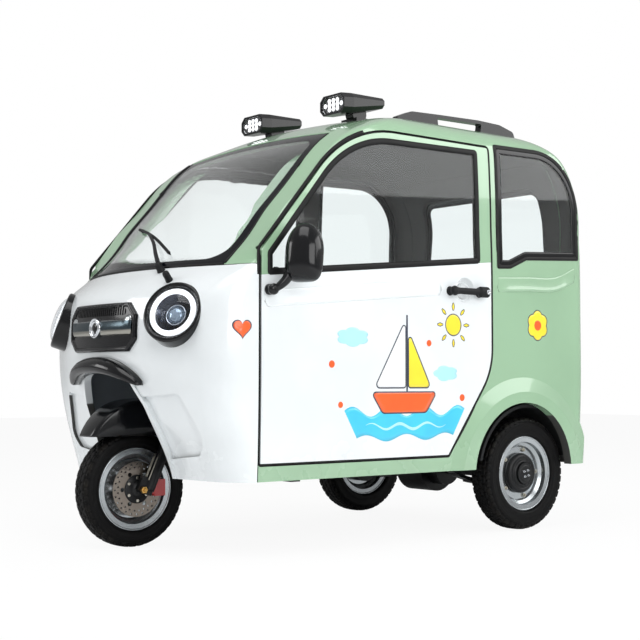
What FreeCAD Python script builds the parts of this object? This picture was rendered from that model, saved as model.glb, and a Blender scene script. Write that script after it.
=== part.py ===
import FreeCAD, Part
import math
import os
import types
import Sketcher
from FreeCAD import Placement, Rotation, Vector

# Enclosed electric tricycle, in millimetres
# +X is the vehicle's left, the nose points to -Y, +Z is up and the wheels stand on z = 0.
# Every piece is drawn from the front axle's line and then set back by front_axle_y,
# which puts the origin on the ground in the middle of the vehicle.

doc = FreeCAD.newDocument("tricycle")

# Driving sizes: alias, value, what it is
DRIVING = [
    ("front_axle_y", -789, "place of the front axle from the origin"),
    ("wheel_base", 1475, "front axle to rear axle"),
    ("rear_track", 960, "between the rear tyres' middles"),
    ("fit_gap", 0.3, "clearance between seated pieces"),
    ("door_gap", 10, "gap round a door leaf"),
    ("skin", 22, "thickness of the body shell"),
    ("door_skin", 34, "thickness of a door"),
    ("glass", 5, "thickness of a pane"),
    ("skirt_height", 250, "bottom edge of the body"),
    ("belt_height", 985, "foot of the windscreen at its middle"),
    ("roof_height", 1590, "top of the roof"),
    ("body_half_width", 562, "middle plane to the side skin"),
    ("nose_y", -128, "foremost point of the nose"),
    ("screen_foot_y", 0, "foot of the windscreen at its middle"),
    ("screen_top_y", 550, "top of the windscreen"),
    ("screen_half_width", 447, "middle plane to the windscreen's side"),
    ("tail_y", 1800, "rear skin"),
    ("door_front_y", 150, "front edge of the door"),
    ("door_rear_y", 1257, "rear edge of the door"),
    ("door_foot", 300, "bottom edge of the door opening"),
    ("door_top", 1486, "top edge of the door opening"),
    ("arch_y", 1422, "middle of the rear wheel arch"),
    ("arch_radius", 272, "rear wheel arch"),
    ("arch_height", 226, "height of the rear arch's centre"),
    ("front_tyre_diameter", 408, "front tyre"),
    ("front_tyre_width", 85, "front tyre section"),
    ("rear_tyre_diameter", 440, "rear tyre"),
    ("rear_tyre_width", 98, "rear tyre section"),
    ("rim_seat", 254, "bead seat diameter of all rims"),
    ("rim_flange", 14, "height of a rim flange above its seat"),
    ("front_rim_width", 60, "between the front rim's flanges"),
    ("rear_rim_width", 66, "between the rear rims' flanges"),
    ("rim_wall", 4, "thickness of a rim's sheet"),
    ("front_hub_diameter", 62, "front hub"),
    ("front_hub_length", 84, "front hub"),
    ("front_axle_diameter", 15, "front axle"),
    ("rear_drum", 172, "brake drum of a rear hub"),
    ("drum_depth", 52, "wheel's middle to the drum's open side"),
    ("hub_spigot", 60, "rear hub through its rim"),
    ("hub_flange", 126, "rear hub's outer flange"),
    ("hub_cap", 84, "rear hub's cap"),
    ("half_shaft", 32, "rear half shaft"),
    ("disc_diameter", 193, "front brake disc"),
    ("disc_thickness", 4, "front brake disc"),
    ("rake", 25, "lean of the steering axis in degrees"),
    ("axle_lead", 45, "steering axis behind the front axle, at the axle's height"),
    ("leg_spread", 76, "middle plane to a fork leg"),
    ("leg_diameter", 34, "fork leg"),
    ("stem_diameter", 28, "steering stem"),
    ("head_diameter", 46, "steering head"),
    ("fender_radius", 318, "front fender's crown from the axle"),
    ("fender_width", 148, "front fender"),
    ("well_half_width", 222, "front wheel well, inside"),
    ("well_top", 618, "front wheel well, inside"),
    ("well_rear_y", 330, "front wheel well, inside"),
    ("lamp_diameter", 214, "headlamp bezel"),
    ("lamp_x", 374, "middle plane to a headlamp"),
    ("lamp_y", -57, "headlamp face"),
    ("lamp_z", 803, "headlamp face"),
    ("rail_spread", 330, "middle plane to a chassis rail"),
    ("rail_size", 40, "square chassis tube"),
    ("floor_height", 290, "top of the floor"),
    ("deck_height", 545, "top of the rear deck"),
    ("sheet", 12, "thickness of floor and well panels"),
    ("axle_tube", 50, "rear axle tube diameter"),
    ("motor_diameter", 200, "drive motor and gear case"),
    ("spring_spread", 330, "middle plane to a leaf spring"),
    ("spring_width", 45, "leaf spring"),
    ("seat_height", 620, "top of the driver's seat"),
    ("bench_height", 660, "top of the rear bench"),
    ("cushion", 90, "thickness of a seat cushion"),
    ("plate_holes", 110, "between the number plate's two bolts"),
    ("bar_half_width", 320, "middle plane to a grip's end"),
]

sheet = doc.addObject("Spreadsheet::Sheet", "Sizes")
for row, (alias, value, words) in enumerate(DRIVING, 1):
    sheet.set("A%d" % row, words)
    sheet.set("B%d" % row, str(value))
    sheet.setAlias("B%d" % row, alias)
doc.recompute()


class Size:
    """A number that keeps the sheet formula it was worked out by."""

    def __init__(self, number, formula=None):
        self.number = float(number)
        self.formula = formula or repr(float(number))

    def join(self, other, sign, number):
        return Size(number, "(%s %s %s)" % (self.formula, sign, other.formula))

    def __add__(self, other):
        other = as_size(other)
        return self.join(other, "+", self.number + other.number)

    def __sub__(self, other):
        other = as_size(other)
        return self.join(other, "-", self.number - other.number)

    def __mul__(self, other):
        other = as_size(other)
        return self.join(other, "*", self.number * other.number)

    def __truediv__(self, other):
        other = as_size(other)
        return self.join(other, "/", self.number / other.number)

    def __radd__(self, other):
        return as_size(other) + self

    def __rsub__(self, other):
        return as_size(other) - self

    def __rmul__(self, other):
        return as_size(other) * self

    def __neg__(self):
        return as_size(0) - self

    def __float__(self):
        return self.number


def as_size(value):
    return value if isinstance(value, Size) else Size(value)


def degree_function(name, angle):
    """Sine, cosine or tangent of an angle in degrees, as a Size."""
    angle = as_size(angle)
    number = getattr(math, name)(math.radians(angle.number))
    return Size(number, "%s(%s)" % (name, angle.formula))


S = types.SimpleNamespace()
for alias, value, words in DRIVING:
    setattr(S, alias, Size(sheet.get(alias), "Sizes." + alias))

nodes = []


# How a piece of the document is made

def bind(thing, setting, size):
    """Tie one setting of an object to the sheet."""
    thing.setExpression(setting, as_size(size).formula)


def primitive(kind, name, sizes, at, axis=None, angle=0):
    """A box, cylinder, cone, torus or ellipsoid whose settings and place come from the sheet."""
    thing = doc.addObject("Part::" + kind, name)
    if axis:
        thing.Placement = Placement(Vector(0, 0, 0), Rotation(Vector(*axis), angle))
    for setting, size in sizes.items():
        bind(thing, setting, size)
    for letter, size in zip("xyz", at):
        bind(thing, "Placement.Base." + letter, size)
    return thing


def box(name, low, high):
    """A box from its low corner to its high corner."""
    lengths = [as_size(b) - a for a, b in zip(low, high)]
    return primitive("Box", name, dict(zip(("Length", "Width", "Height"), lengths)), low)


def rod(name, direction, diameter, start, length):
    """A round bar along X, Y or Z, from its start point."""
    turn = {"X": ((0, 1, 0), 90), "Y": ((1, 0, 0), -90), "Z": (None, 0)}[direction]
    sizes = {"Radius": as_size(diameter) / 2, "Height": length}
    return primitive("Cylinder", name, sizes, start, turn[0], turn[1])


def fuse(name, pieces):
    whole = doc.addObject("Part::MultiFuse", name)
    whole.Shapes = pieces
    return whole


def cut(name, base, tools):
    whole = doc.addObject("Part::Cut", name)
    whole.Base = base
    whole.Tool = tools[0] if len(tools) == 1 else fuse(name + "_tools", tools)
    return whole


def publish(thing, label, place=None, leaning=False):
    """Name a finished sub-part and set it in the vehicle's frame."""
    thing.Label = label
    x, y, z = place or (0, 0, 0)
    if leaning:
        thing.Placement = Placement(Vector(0, 0, 0), Rotation(Vector(1, 0, 0), -float(S.rake)))
    bind(thing, "Placement.Base.x", as_size(x))
    bind(thing, "Placement.Base.y", as_size(y) + S.front_axle_y)
    bind(thing, "Placement.Base.z", as_size(z))
    nodes.append(thing)
    return thing


def shaped(label, shape):
    """A sub-part that no primitive or sketch gives, set in the vehicle's frame."""
    thing = doc.addObject("Part::Feature", label)
    thing.Shape = shape.removeSplitter()
    return publish(thing, label)


def turned_body(label, half_profile, place):
    """A body turned about X from half a section; rows are across, from the axis."""
    body = doc.addObject("PartDesign::Body", label)
    sketch = body.newObject("Sketcher::SketchObject", label + "_section")
    plane = [f for f in body.Origin.OriginFeatures if f.Role == "XZ_Plane"][0]
    sketch.AttachmentSupport = [(plane, "")]
    sketch.MapMode = "FlatFace"
    mirrored = [(-as_size(x), r) for x, r in reversed(half_profile)]
    points = [(as_size(x), as_size(r)) for x, r in half_profile] + mirrored
    last = len(points) - 1
    for index, (across, radius) in enumerate(points):
        onward = points[0] if index == last else points[index + 1]
        start = Vector(across.number, radius.number, 0)
        end = Vector(onward[0].number, onward[1].number, 0)
        sketch.addGeometry(Part.LineSegment(start, end), False)
    for index in range(len(points)):
        after = 0 if index == last else index + 1
        sketch.addConstraint(Sketcher.Constraint("Coincident", index, 2, after, 1))
    for index, (across, radius) in enumerate(points):
        for kind, size in (("DistanceX", across), ("DistanceY", radius)):
            number = sketch.addConstraint(Sketcher.Constraint(kind, index, 1, size.number))
            sketch.setExpression("Constraints[%d]" % number, size.formula)
    turned = body.newObject("PartDesign::Revolution", label + "_turned")
    turned.Profile = sketch
    turned.ReferenceAxis = (sketch, ["H_Axis"])
    turned.Angle = 360
    doc.recompute()
    return publish(body, label, place)


# Wires, prisms and forms for the shell

def outline(corners, plane, level=0.0):
    """Closed wire through corners (a, b, radius), each corner rounded by a tangent arc."""
    place = {
        "YZ": lambda a, b: Vector(level, a, b),
        "XZ": lambda a, b: Vector(a, level, b),
        "XY": lambda a, b: Vector(a, b, level),
    }[plane]
    corners = [tuple(float(value) for value in corner) for corner in corners]
    edges = []
    stops = []
    count = len(corners)
    for index, (a, b, radius) in enumerate(corners):
        here = Vector(a, b, 0)
        before = Vector(corners[index - 1][0], corners[index - 1][1], 0)
        after = Vector(corners[(index + 1) % count][0], corners[(index + 1) % count][1], 0)
        back = (before - here).normalize()
        on = (after - here).normalize()
        if radius <= 0:
            stops.append((here, None, here))
            continue
        half = back.getAngle(on) / 2
        reach = radius / math.tan(half)
        centre = here + (back + on).normalize() * (radius / math.sin(half))
        middle = centre + (here - centre).normalize() * radius
        stops.append((here + back * reach, middle, here + on * reach))
    for index, (start, middle, end) in enumerate(stops):
        if middle:
            points = [place(p.x, p.y) for p in (start, middle, end)]
            edges.append(Part.Arc(*points).toShape())
        onward = stops[(index + 1) % count][0]
        if (onward - end).Length > 1e-6:
            edges.append(Part.LineSegment(place(end.x, end.y), place(onward.x, onward.y)).toShape())
    return Part.Wire(Part.__sortEdges__(edges))


def prism(wire, low, high, direction):
    """The wire's face carried along one axis from low to high."""
    low = float(low)
    high = float(high)
    step = {"X": Vector(1, 0, 0), "Y": Vector(0, 1, 0), "Z": Vector(0, 0, 1)}[direction]
    face = Part.Face(wire)
    face.translate(step * low)
    return face.extrude(step * (high - low))


def block(low, high):
    low = Vector(*[float(v) for v in low])
    high = Vector(*[float(v) for v in high])
    return Part.makeBox(high.x - low.x, high.y - low.y, high.z - low.z, low)


def across(radius, low, high, y, z):
    """A cylinder along X between two places."""
    start = Vector(float(low), float(y), float(z))
    return Part.makeCylinder(float(radius), float(high) - float(low), start, Vector(1, 0, 0))


def both_sides(shape):
    """The shape and its mirror image in the middle plane."""
    return Part.makeCompound([shape, shape.mirror(Vector(0, 0, 0), Vector(1, 0, 0))])


def mirror(shape):
    return shape.mirror(Vector(0, 0, 0), Vector(1, 0, 0))


def above_belt(share):
    return float(S.belt_height) + share * (float(S.roof_height) - float(S.belt_height))


def below_belt(share):
    return float(S.skirt_height) + share * (float(S.belt_height) - float(S.skirt_height))


NOSE = float(S.nose_y)
FOOT = float(S.screen_foot_y)
TOP = float(S.screen_top_y)
WIDTH = float(S.body_half_width)
TAIL = float(S.tail_y)

SCREEN = float(S.screen_half_width)
SLOPE = TOP - FOOT

# Plan sections of the bodywork, from the skirt to the roof: height, foremost point, half width
# of the bowed front, its fall, angle of the straight cheek beside it (None: as the bow ends),
# corner radius, half width, rearmost point, rear corner radius
SECTIONS = [
    (below_belt(0.00), NOSE + 150, WIDTH - 162, 26, None, 115, WIDTH - 6, TAIL - 14, 50),
    (below_belt(0.27), NOSE + 78, WIDTH - 162, 38, None, 120, WIDTH - 2, TAIL - 4, 50),
    (below_belt(0.50), NOSE + 13, WIDTH - 162, 64, None, 130, WIDTH, TAIL, 50),
    (below_belt(0.75), NOSE, WIDTH - 162, 73, None, 140, WIDTH, TAIL, 50),
    (below_belt(0.86), NOSE + 22, WIDTH - 152, 77, None, 110, WIDTH, TAIL, 50),
    (below_belt(0.94), FOOT - 47, WIDTH - 132, 86, None, 60, WIDTH, TAIL, 50),
    (above_belt(0.00), FOOT, SCREEN, 101, 20, 14, WIDTH, TAIL, 50),
    (above_belt(0.06), FOOT + 0.066 * SLOPE, SCREEN, 101, 9, 14, WIDTH - 0.5, TAIL, 50),
    (above_belt(0.124), FOOT + 0.137 * SLOPE, SCREEN, 99, 3, 14, WIDTH - 1, TAIL, 50),
    (above_belt(0.22), FOOT + 0.245 * SLOPE, SCREEN, 85, 2, 14, WIDTH - 3, TAIL, 50),
    (above_belt(0.32), FOOT + 0.36 * SLOPE, SCREEN, 68, 3, 14, WIDTH - 5, TAIL, 50),
    (above_belt(0.62), FOOT + 0.70 * SLOPE, SCREEN, 39, 7, 16, WIDTH - 10, TAIL - 22, 55),
    (above_belt(0.75), FOOT + 0.86 * SLOPE, SCREEN, 30, 14, 28, WIDTH - 14, TAIL - 60, 60),
    (above_belt(0.84), TOP + 6, SCREEN - 7, 38, 25, 50, WIDTH - 24, TAIL - 105, 70),
    (above_belt(0.905), TOP + 84, WIDTH - 162, 60, None, 75, WIDTH - 56, TAIL - 165, 80),
    (above_belt(0.955), TOP + 195, WIDTH - 232, 70, None, 80, WIDTH - 120, TAIL - 255, 90),
    (above_belt(0.985), TOP + 320, WIDTH - 312, 64, None, 70, WIDTH - 215, TAIL - 370, 90),
    (above_belt(0.996), TOP + 450, WIDTH - 412, 45, None, 50, WIDTH - 350, TAIL - 520, 70),
]


def plan_section(height, front, bow_half, fall, cheek, corner, half_width, rear, rear_corner):
    """A closed plan outline: bowed front, straight cheeks, corners, straight sides and tail."""
    bow = (bow_half ** 2 + fall ** 2) / (2 * fall)
    turn = math.asin(bow_half / bow) if cheek is None else math.radians(cheek)
    reach = (half_width - corner + corner * math.sin(turn) - bow_half) / math.cos(turn)
    corner_x = bow_half + reach * math.cos(turn)
    corner_y = front + fall + reach * math.sin(turn)
    side_start = corner_y + corner * math.cos(turn)
    heading = (math.pi / 2 - turn) / 2
    mid_x = half_width - corner + corner * math.cos(heading)
    mid_y = side_start - corner * math.sin(heading)
    inner = half_width - rear_corner
    bend = rear - rear_corner
    tip = rear_corner * math.sqrt(0.5)

    def at(x, y):
        return Vector(x, y, height)

    edges = [
        Part.Arc(at(-bow_half, front + fall), at(0, front), at(bow_half, front + fall)),
        Part.LineSegment(at(bow_half, front + fall), at(corner_x, corner_y)),
        Part.Arc(at(corner_x, corner_y), at(mid_x, mid_y), at(half_width, side_start)),
        Part.LineSegment(at(half_width, side_start), at(half_width, bend)),
        Part.Arc(at(half_width, bend), at(inner + tip, bend + tip), at(inner, rear)),
        Part.LineSegment(at(inner, rear), at(-inner, rear)),
        Part.Arc(at(-inner, rear), at(-inner - tip, bend + tip), at(-half_width, bend)),
        Part.LineSegment(at(-half_width, bend), at(-half_width, side_start)),
        Part.Arc(at(-half_width, side_start), at(-mid_x, mid_y), at(-corner_x, corner_y)),
        Part.LineSegment(at(-corner_x, corner_y), at(-bow_half, front + fall)),
    ]
    return Part.Wire([edge.toShape() for edge in edges])


def skin_faces(inset):
    """The bodywork's faces drawn in by inset: its skin, and its flat foot apart."""
    inset = float(inset)
    level = float(S.belt_height)
    lower = []
    upper = []
    for height, front, bow_half, fall, cheek, corner, half_width, rear, rear_corner in SECTIONS:
        narrowed = (bow_half - inset) / bow_half
        drop = inset if height > level + 1 else 0.0
        wire = plan_section(height - drop, front + inset, bow_half - inset, fall * narrowed ** 2, cheek,
                            max(corner - inset, 3), half_width - inset, rear - inset, rear_corner - inset / 3)
        if height < level + 1:
            lower.append(wire)
        if height > level - 1:
            upper.append(wire)
    faces = Part.makeLoft(lower, True, False).Faces + Part.makeLoft(upper, True, False).Faces
    skin = [face for face in faces
            if abs(face.CenterOfMass.z - level) > 1 and face.CenterOfMass.z > float(S.skirt_height) + 1]
    foot = [face for face in faces if face.CenterOfMass.z < float(S.skirt_height) + 1]
    return skin, foot[0]


def closed(faces):
    """A solid from faces that meet along their edges."""
    sewn = Part.makeCompound(faces)
    sewn.sewShape()
    shell = sewn.Shells[0]
    solid = Part.Solid(shell)
    solid.fix(0.001, 0.001, 0.001)
    return solid


def body_form(inset):
    """The closed form of the bodywork, drawn in by inset."""
    skin, foot = skin_faces(inset)
    return closed(skin + [foot])


def hollow_form(outer_inset, inner_inset):
    """The bodywork between two insets, open below."""
    outer, outer_foot = skin_faces(outer_inset)
    inner, inner_foot = skin_faces(inner_inset)
    rim = Part.Face([outer_foot.OuterWire, inner_foot.OuterWire])
    return closed(outer + [face.reversed() for face in inner] + [rim])


OUTER = body_form(0)
SHELL = hollow_form(0, S.skin)
FAR = 3000.0
GAP = float(S.fit_gap)
BELT_SEAM = float(S.belt_height) - 16
SEAM = 3.0


def inset_wire(wire, distance):
    return wire.makeOffset2D(-float(distance))


# Side openings, drawn in the side view as (y, z, corner radius)
DOOR_F = float(S.door_front_y)
DOOR_R = float(S.door_rear_y)
DOOR_B = float(S.door_foot)
DOOR_T = float(S.door_top)
door_wire = outline([
    (DOOR_F, DOOR_B, 12),
    (DOOR_F, DOOR_T - 465, 25),
    (DOOR_F + 399, DOOR_T, 480),
    (DOOR_R, DOOR_T, 18),
    (DOOR_R, DOOR_B + 323, 260),
    (DOOR_R - 232, DOOR_B, 15),
], "YZ")
window_wire = outline([
    (DOOR_F + 37, DOOR_T - 590, 8),
    (DOOR_F + 37, DOOR_T - 476, 15),
    (DOOR_F + 401, DOOR_T - 37, 430),
    (DOOR_R - 70, DOOR_T - 27, 12),
    (DOOR_R - 70, DOOR_T - 590, 12),
], "YZ")
quarter_wire = outline([
    (DOOR_R + 27, DOOR_T + 8, 12),
    (TAIL - 36, DOOR_T + 17, 235),
    (TAIL - 43, DOOR_T - 416, 8),
    (DOOR_R + 191, DOOR_T - 432, 25),
    (DOOR_R + 100, DOOR_T - 470, 25),
    (DOOR_R + 24, DOOR_T - 474, 10),
], "YZ")
belt_wire = outline([
    (DOOR_F - 50, -10, 0),
    (DOOR_F - 50, DOOR_T - 558.5, 0),
    (DOOR_R + 50, DOOR_T - 446, 0),
    (DOOR_R + 50, -10, 0),
], "YZ")


def arch_prism(extra, low, high):
    """The rear wheel arch's opening, drawn larger by extra."""
    radius = float(S.arch_radius) + extra
    drum = across(radius, low, high, S.arch_y, S.arch_height)
    skirt = block((low, float(S.arch_y) - radius, -50),
                  (high, float(S.arch_y) + radius, float(S.arch_height)))
    return drum.fuse(skirt)


# Cowl: the moulded white front, open for the wheel, lamps and grille
cowl_zone = block((-FAR, -FAR, -FAR), (FAR, DOOR_F - 2, BELT_SEAM - SEAM / 2))
mouth_wire = outline([
    (-236, -100, 0),
    (-236, float(S.skirt_height), 0),
    (-196, float(S.well_top) - 120, 60),
    (-140, float(S.well_top) - 10, 70),
    (140, float(S.well_top) - 10, 70),
    (196, float(S.well_top) - 120, 60),
    (236, float(S.skirt_height), 0),
    (236, -100, 0),
], "XZ")
mouth = prism(mouth_wire, -FAR, S.well_rear_y, "Y")
LAMP_AIM = Vector(0.46, -0.82, 0.34).normalize()
LAMP_AT = Vector(float(S.lamp_x), float(S.lamp_y), float(S.lamp_z))


def lamp_drum(diameter, front, rear):
    """A cylinder along the left headlamp's aim, from front to rear of its face."""
    radius = float(diameter) / 2
    return Part.makeCylinder(radius, front + rear, LAMP_AT - LAMP_AIM * rear, LAMP_AIM)


grille_wire = outline([
    (-180, 682, 6), (-222, 722, 12), (-222, 806, 12), (-180, 850, 8),
    (180, 850, 8), (222, 806, 12), (222, 722, 12), (180, 682, 6),
], "XZ")
cowl = SHELL.common(cowl_zone).cut(mouth)
cowl = cowl.cut(both_sides(lamp_drum(S.lamp_diameter + 2 * S.fit_gap, 120, 200)))
cowl = cowl.cut(prism(grille_wire, -FAR, 60, "Y"))
POCKET_DEPTH = 13.0
LIP_WIDTH = 15.0
LIP_RISE = 5.0
pocket_wire = outline([
    (120, 316, 0), (120, 522, 0), (378, 542, 32), (446, 386, 50), (406, 334, 26), (200, 312, 0),
], "XZ")
pocket = hollow_form(-LIP_RISE - 4, POCKET_DEPTH).common(prism(pocket_wire, -FAR, 150, "Y"))
cowl = cowl.cut(both_sides(pocket))
lip_zone = prism(mouth_wire.makeOffset2D(LIP_WIDTH), -FAR, 150, "Y").cut(mouth)
lip_zone = lip_zone.common(block((-FAR, -FAR, float(S.skirt_height)), (FAR, 150, FAR)))
lip = hollow_form(-LIP_RISE, POCKET_DEPTH + 4).common(lip_zone)
cowl = cowl.fuse(lip)
shaped("cowl", cowl)

# Side frames: pillar, roof rail, quarter panel and sill in one moulding each
side_zone = block((SCREEN + SEAM / 2, DOOR_F + 2, -FAR), (FAR, FAR, FAR))
side_zone = side_zone.fuse(block((SCREEN + SEAM / 2, -FAR, BELT_SEAM + SEAM / 2), (FAR, FAR, FAR)))
side_frame = SHELL.common(side_zone)
side_frame = side_frame.cut(prism(door_wire, 300, FAR, "X"))
side_frame = side_frame.cut(prism(quarter_wire, 300, FAR, "X"))
# A flared band round each rear arch: how far it stands out, its width and its flat part
FLARE = 15.0
FLARE_REACH = float(S.arch_radius) + 120
FLARE_FLAT = float(S.arch_radius) + 40
arch_line = Vector(WIDTH - 6, float(S.arch_y), float(S.arch_height))
flare = Part.makeCone(FLARE_REACH, FLARE_FLAT, FLARE + 6, arch_line, Vector(1, 0, 0))
flare = flare.fuse(across(FLARE_FLAT, WIDTH - 20, WIDTH + FLARE + 6, S.arch_y, S.arch_height))
flare = flare.common(block((0, DOOR_R - 232, float(S.skirt_height)), (WIDTH + FLARE, FAR, FAR)))
flare = flare.common(body_form(-FLARE)).cut(prism(door_wire, 300, FAR, "X"))
side_frame = side_frame.fuse(flare).cut(arch_prism(0, 300, FAR))
shaped("side_frame_left", side_frame)
shaped("side_frame_right", mirror(side_frame))

# Roof, rear panel and windscreen share the middle between the side frames
middle = block((-SCREEN + SEAM / 2, -FAR, -FAR), (SCREEN - SEAM / 2, FAR, FAR))
roof_zone = block((-FAR, TOP + SEAM / 2, above_belt(0.75)), (FAR, TAIL - 130, FAR))
roof = SHELL.common(middle).common(roof_zone)
shaped("roof_panel", roof)
rear_zone = block((-FAR, TAIL - 400, -FAR), (FAR, FAR, above_belt(0.75) - SEAM))
rear_zone = rear_zone.fuse(block((-FAR, TAIL - 130 + SEAM, -FAR), (FAR, FAR, FAR)))
rear_window_wire = outline([
    (-370, 1075, 30), (-345, 1395, 60), (345, 1395, 60), (370, 1075, 30),
], "XZ")
rear_panel = SHELL.common(middle).common(rear_zone)
rear_panel = rear_panel.cut(prism(rear_window_wire, TAIL - 400, FAR, "Y"))
PLATE_Z = 610.0
rear_panel = rear_panel.cut(block((-170, TAIL - 4, PLATE_Z - 85), (170, FAR, PLATE_Z + 85)))
for side in (-1, 1):
    at = Vector(side * float(S.plate_holes) / 2, TAIL - 60, PLATE_Z)
    rear_panel = rear_panel.cut(Part.makeCylinder(3, 80, at, Vector(0, 1, 0)))
shaped("rear_panel", rear_panel)

PANE = hollow_form(2, 2 + float(S.glass))
SCREEN_EDGE = SCREEN + SEAM / 2 - GAP
screen_zone = block((-SCREEN_EDGE, -FAR, BELT_SEAM - SEAM / 2 + GAP),
                    (SCREEN_EDGE, TOP + SEAM / 2 - GAP, FAR))
shaped("windscreen", PANE.common(screen_zone))
quarter_pane = PANE.common(prism(inset_wire(quarter_wire, GAP), 300, FAR, "X"))
rear_pane = PANE.common(prism(inset_wire(rear_window_wire, GAP), TAIL - 400, FAR, "Y"))
shaped("rear_windows", Part.makeCompound([both_sides(quarter_pane), rear_pane]))

# Doors: white lower leaf and green window frame, cut from one thick shell
LEAF = hollow_form(0, S.door_skin)
SIDE = OUTER.common(block((300, 100, 800), (FAR, 1400, 1200)))
leaf_wire = inset_wire(door_wire, S.door_gap)
leaf = LEAF.common(prism(leaf_wire, 300, FAR, "X"))
below = prism(belt_wire, 0, FAR, "X")
door = leaf.common(below)
scoop = Part.makeCone(28, 52, 20, Vector(WIDTH - 16, DOOR_R - 150, 922), Vector(1, 0, 0))
door = door.cut(scoop)
frame_part = leaf.cut(below).cut(prism(window_wire, 300, FAR, "X"))
frame_part.translate(Vector(0, 0, GAP))
door_pane = PANE.common(prism(inset_wire(window_wire, GAP), 300, FAR, "X"))
door_pane = door_pane.cut(below)
door_pane.translate(Vector(0, 0, GAP))


def handle(side):
    """A pull handle: bar, two feet on the door skin and a round lock head."""
    out = WIDTH + 22
    bar = Part.makeCylinder(11, 175, Vector(out, DOOR_R - 245, 916), Vector(0, 1, 0))
    head = Part.makeSphere(17, Vector(out - 2, DOOR_R - 66, 916))
    front = Part.makeCylinder(10, 24, Vector(WIDTH - 1.5, DOOR_R - 236, 916), Vector(1, 0, 0))
    rear = Part.makeCylinder(12, 22, Vector(WIDTH + 0.3, DOOR_R - 66, 916), Vector(1, 0, 0))
    whole = bar.fuse([head, front, rear])
    whole = whole.cut(SIDE)
    return whole if side > 0 else mirror(whole)


# Rings of the mirror housing from its glass to its back: place, half width, half height
MIRROR_RINGS = [(14, 66, 103), (-10, 61, 97), (-27, 43, 74), (-37, 18, 36)]
MIRROR_TURN = 30


def door_mirror(side):
    """A rear-view mirror: egg-shaped housing with a flat glass side, arm and foot."""
    rings = []
    for along, half_width, half_height in MIRROR_RINGS:
        ring = Part.Wire([Part.Ellipse(Vector(0, 0, 0), half_height, half_width).toShape()])
        ring.rotate(Vector(0, 0, 0), Vector(0, 0, 1), 90)
        ring.rotate(Vector(0, 0, 0), Vector(1, 0, 0), 90)
        ring.translate(Vector(0, along, 0))
        rings.append(ring)
    egg = Part.makeLoft(rings, True, False)
    egg.rotate(Vector(0, 0, 0), Vector(1, 0, 0), -8)
    egg.rotate(Vector(0, 0, 0), Vector(0, 0, 1), MIRROR_TURN)
    egg.translate(Vector(WIDTH + 74, DOOR_F + 128, DOOR_T - 476))
    foot = Part.makeCylinder(15, 40, Vector(WIDTH - 10, DOOR_F + 40, DOOR_T - 601), Vector(1, 0, 0))
    start = Vector(WIDTH + 24, DOOR_F + 40, DOOR_T - 601)
    end = Vector(WIDTH + 68, DOOR_F + 118, DOOR_T - 525)
    arm = Part.makeCylinder(9, (end - start).Length, start, end - start)
    whole = egg.fuse([foot, arm]).cut(SIDE)
    return whole if side > 0 else mirror(whole)


for word, side in (("left", 1), ("right", -1)):
    turn = (lambda shape: shape) if side > 0 else mirror
    shaped("door_" + word, turn(door))
    shaped("window_frame_" + word, turn(frame_part))
    shaped("door_glass_" + word, turn(door_pane))
    shaped("door_handle_" + word, handle(side))
    shaped("mirror_" + word, door_mirror(side))

# Nose fittings
grille = hollow_form(-5, 14).common(prism(inset_wire(grille_wire, GAP), -FAR, 60, "Y"))
recess_wire = outline([
    (-160, 806, 6), (-172, 818, 8), (-150, 840, 8), (150, 840, 8), (172, 818, 8), (160, 806, 6),
], "XZ")
slots = prism(recess_wire, -FAR, 60, "Y")
SLOT_PITCH = 13
SLAT = 5
slats = []
for index in range(-13, 14):
    middle_x = index * SLOT_PITCH
    slats.append(block((middle_x - SLAT / 2, -FAR, 780), (middle_x + SLAT / 2, 60, 860)))
slots = slots.cut(slats)
grille = grille.cut(hollow_form(-9, 6).common(slots))
shaped("grille", grille)
bar_wire = outline([
    (-200, 738, 4), (-205, 760, 4), (-196, 806, 4), (-176, 803, 6), (-150, 792, 30),
    (150, 792, 30), (176, 803, 6), (196, 806, 4), (205, 760, 4), (200, 738, 4),
], "XZ")
medal = Part.makeCylinder(31, 200, Vector(0, NOSE - 100, 768), Vector(0, 1, 0))
bar = hollow_form(-12, -5 - GAP).common(prism(bar_wire, -FAR, 60, "Y").fuse(medal))
shaped("grille_bar", bar)

brow_wire = outline([
    (-242, 576, 10), (-202, 628, 60), (-110, 665, 150), (110, 665, 150), (202, 628, 60), (242, 576, 10),
    (222, 566, 6), (178, 590, 50), (100, 609, 100), (-100, 609, 100), (-178, 590, 50), (-222, 566, 6),
], "XZ")
brow = hollow_form(-30, -LIP_RISE - GAP).common(prism(brow_wire, -FAR, 100, "Y"))
shaped("eyebrow", brow)

# Headlamps: black bowl with its rim, and a clear lens in front of it
BEZEL_ROUND = 8.5
BEZEL_FACE = 16.0
LENS_DIAMETER = S.lamp_diameter - 34
bowl = lamp_drum(S.lamp_diameter, BEZEL_FACE, 60).cut(lamp_drum(LENS_DIAMETER, 40, 30))
bezel_radius = float(S.lamp_diameter) / 2 - BEZEL_ROUND
bowl = bowl.fuse(Part.makeTorus(bezel_radius, BEZEL_ROUND, LAMP_AT + LAMP_AIM * BEZEL_FACE, LAMP_AIM))
lens = lamp_drum(LENS_DIAMETER - 2 * S.fit_gap, BEZEL_FACE - 3, -7)
shaped("headlamps", both_sides(bowl))
shaped("headlamp_lenses", both_sides(lens))

# Front wheel well behind the cowl's mouth, under the dash
WELL = float(S.well_half_width)
WELL_TOP = float(S.well_top)
WELL_REAR = float(S.well_rear_y)
SHEET = float(S.sheet)
FITTED = body_form(float(S.skin) + GAP)
well = block((-WELL - SHEET, NOSE, float(S.skirt_height) + 8),
             (WELL + SHEET, WELL_REAR + SHEET, WELL_TOP + SHEET))
well = well.cut(block((-WELL, -FAR, -FAR), (WELL, WELL_REAR, WELL_TOP)))


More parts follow.
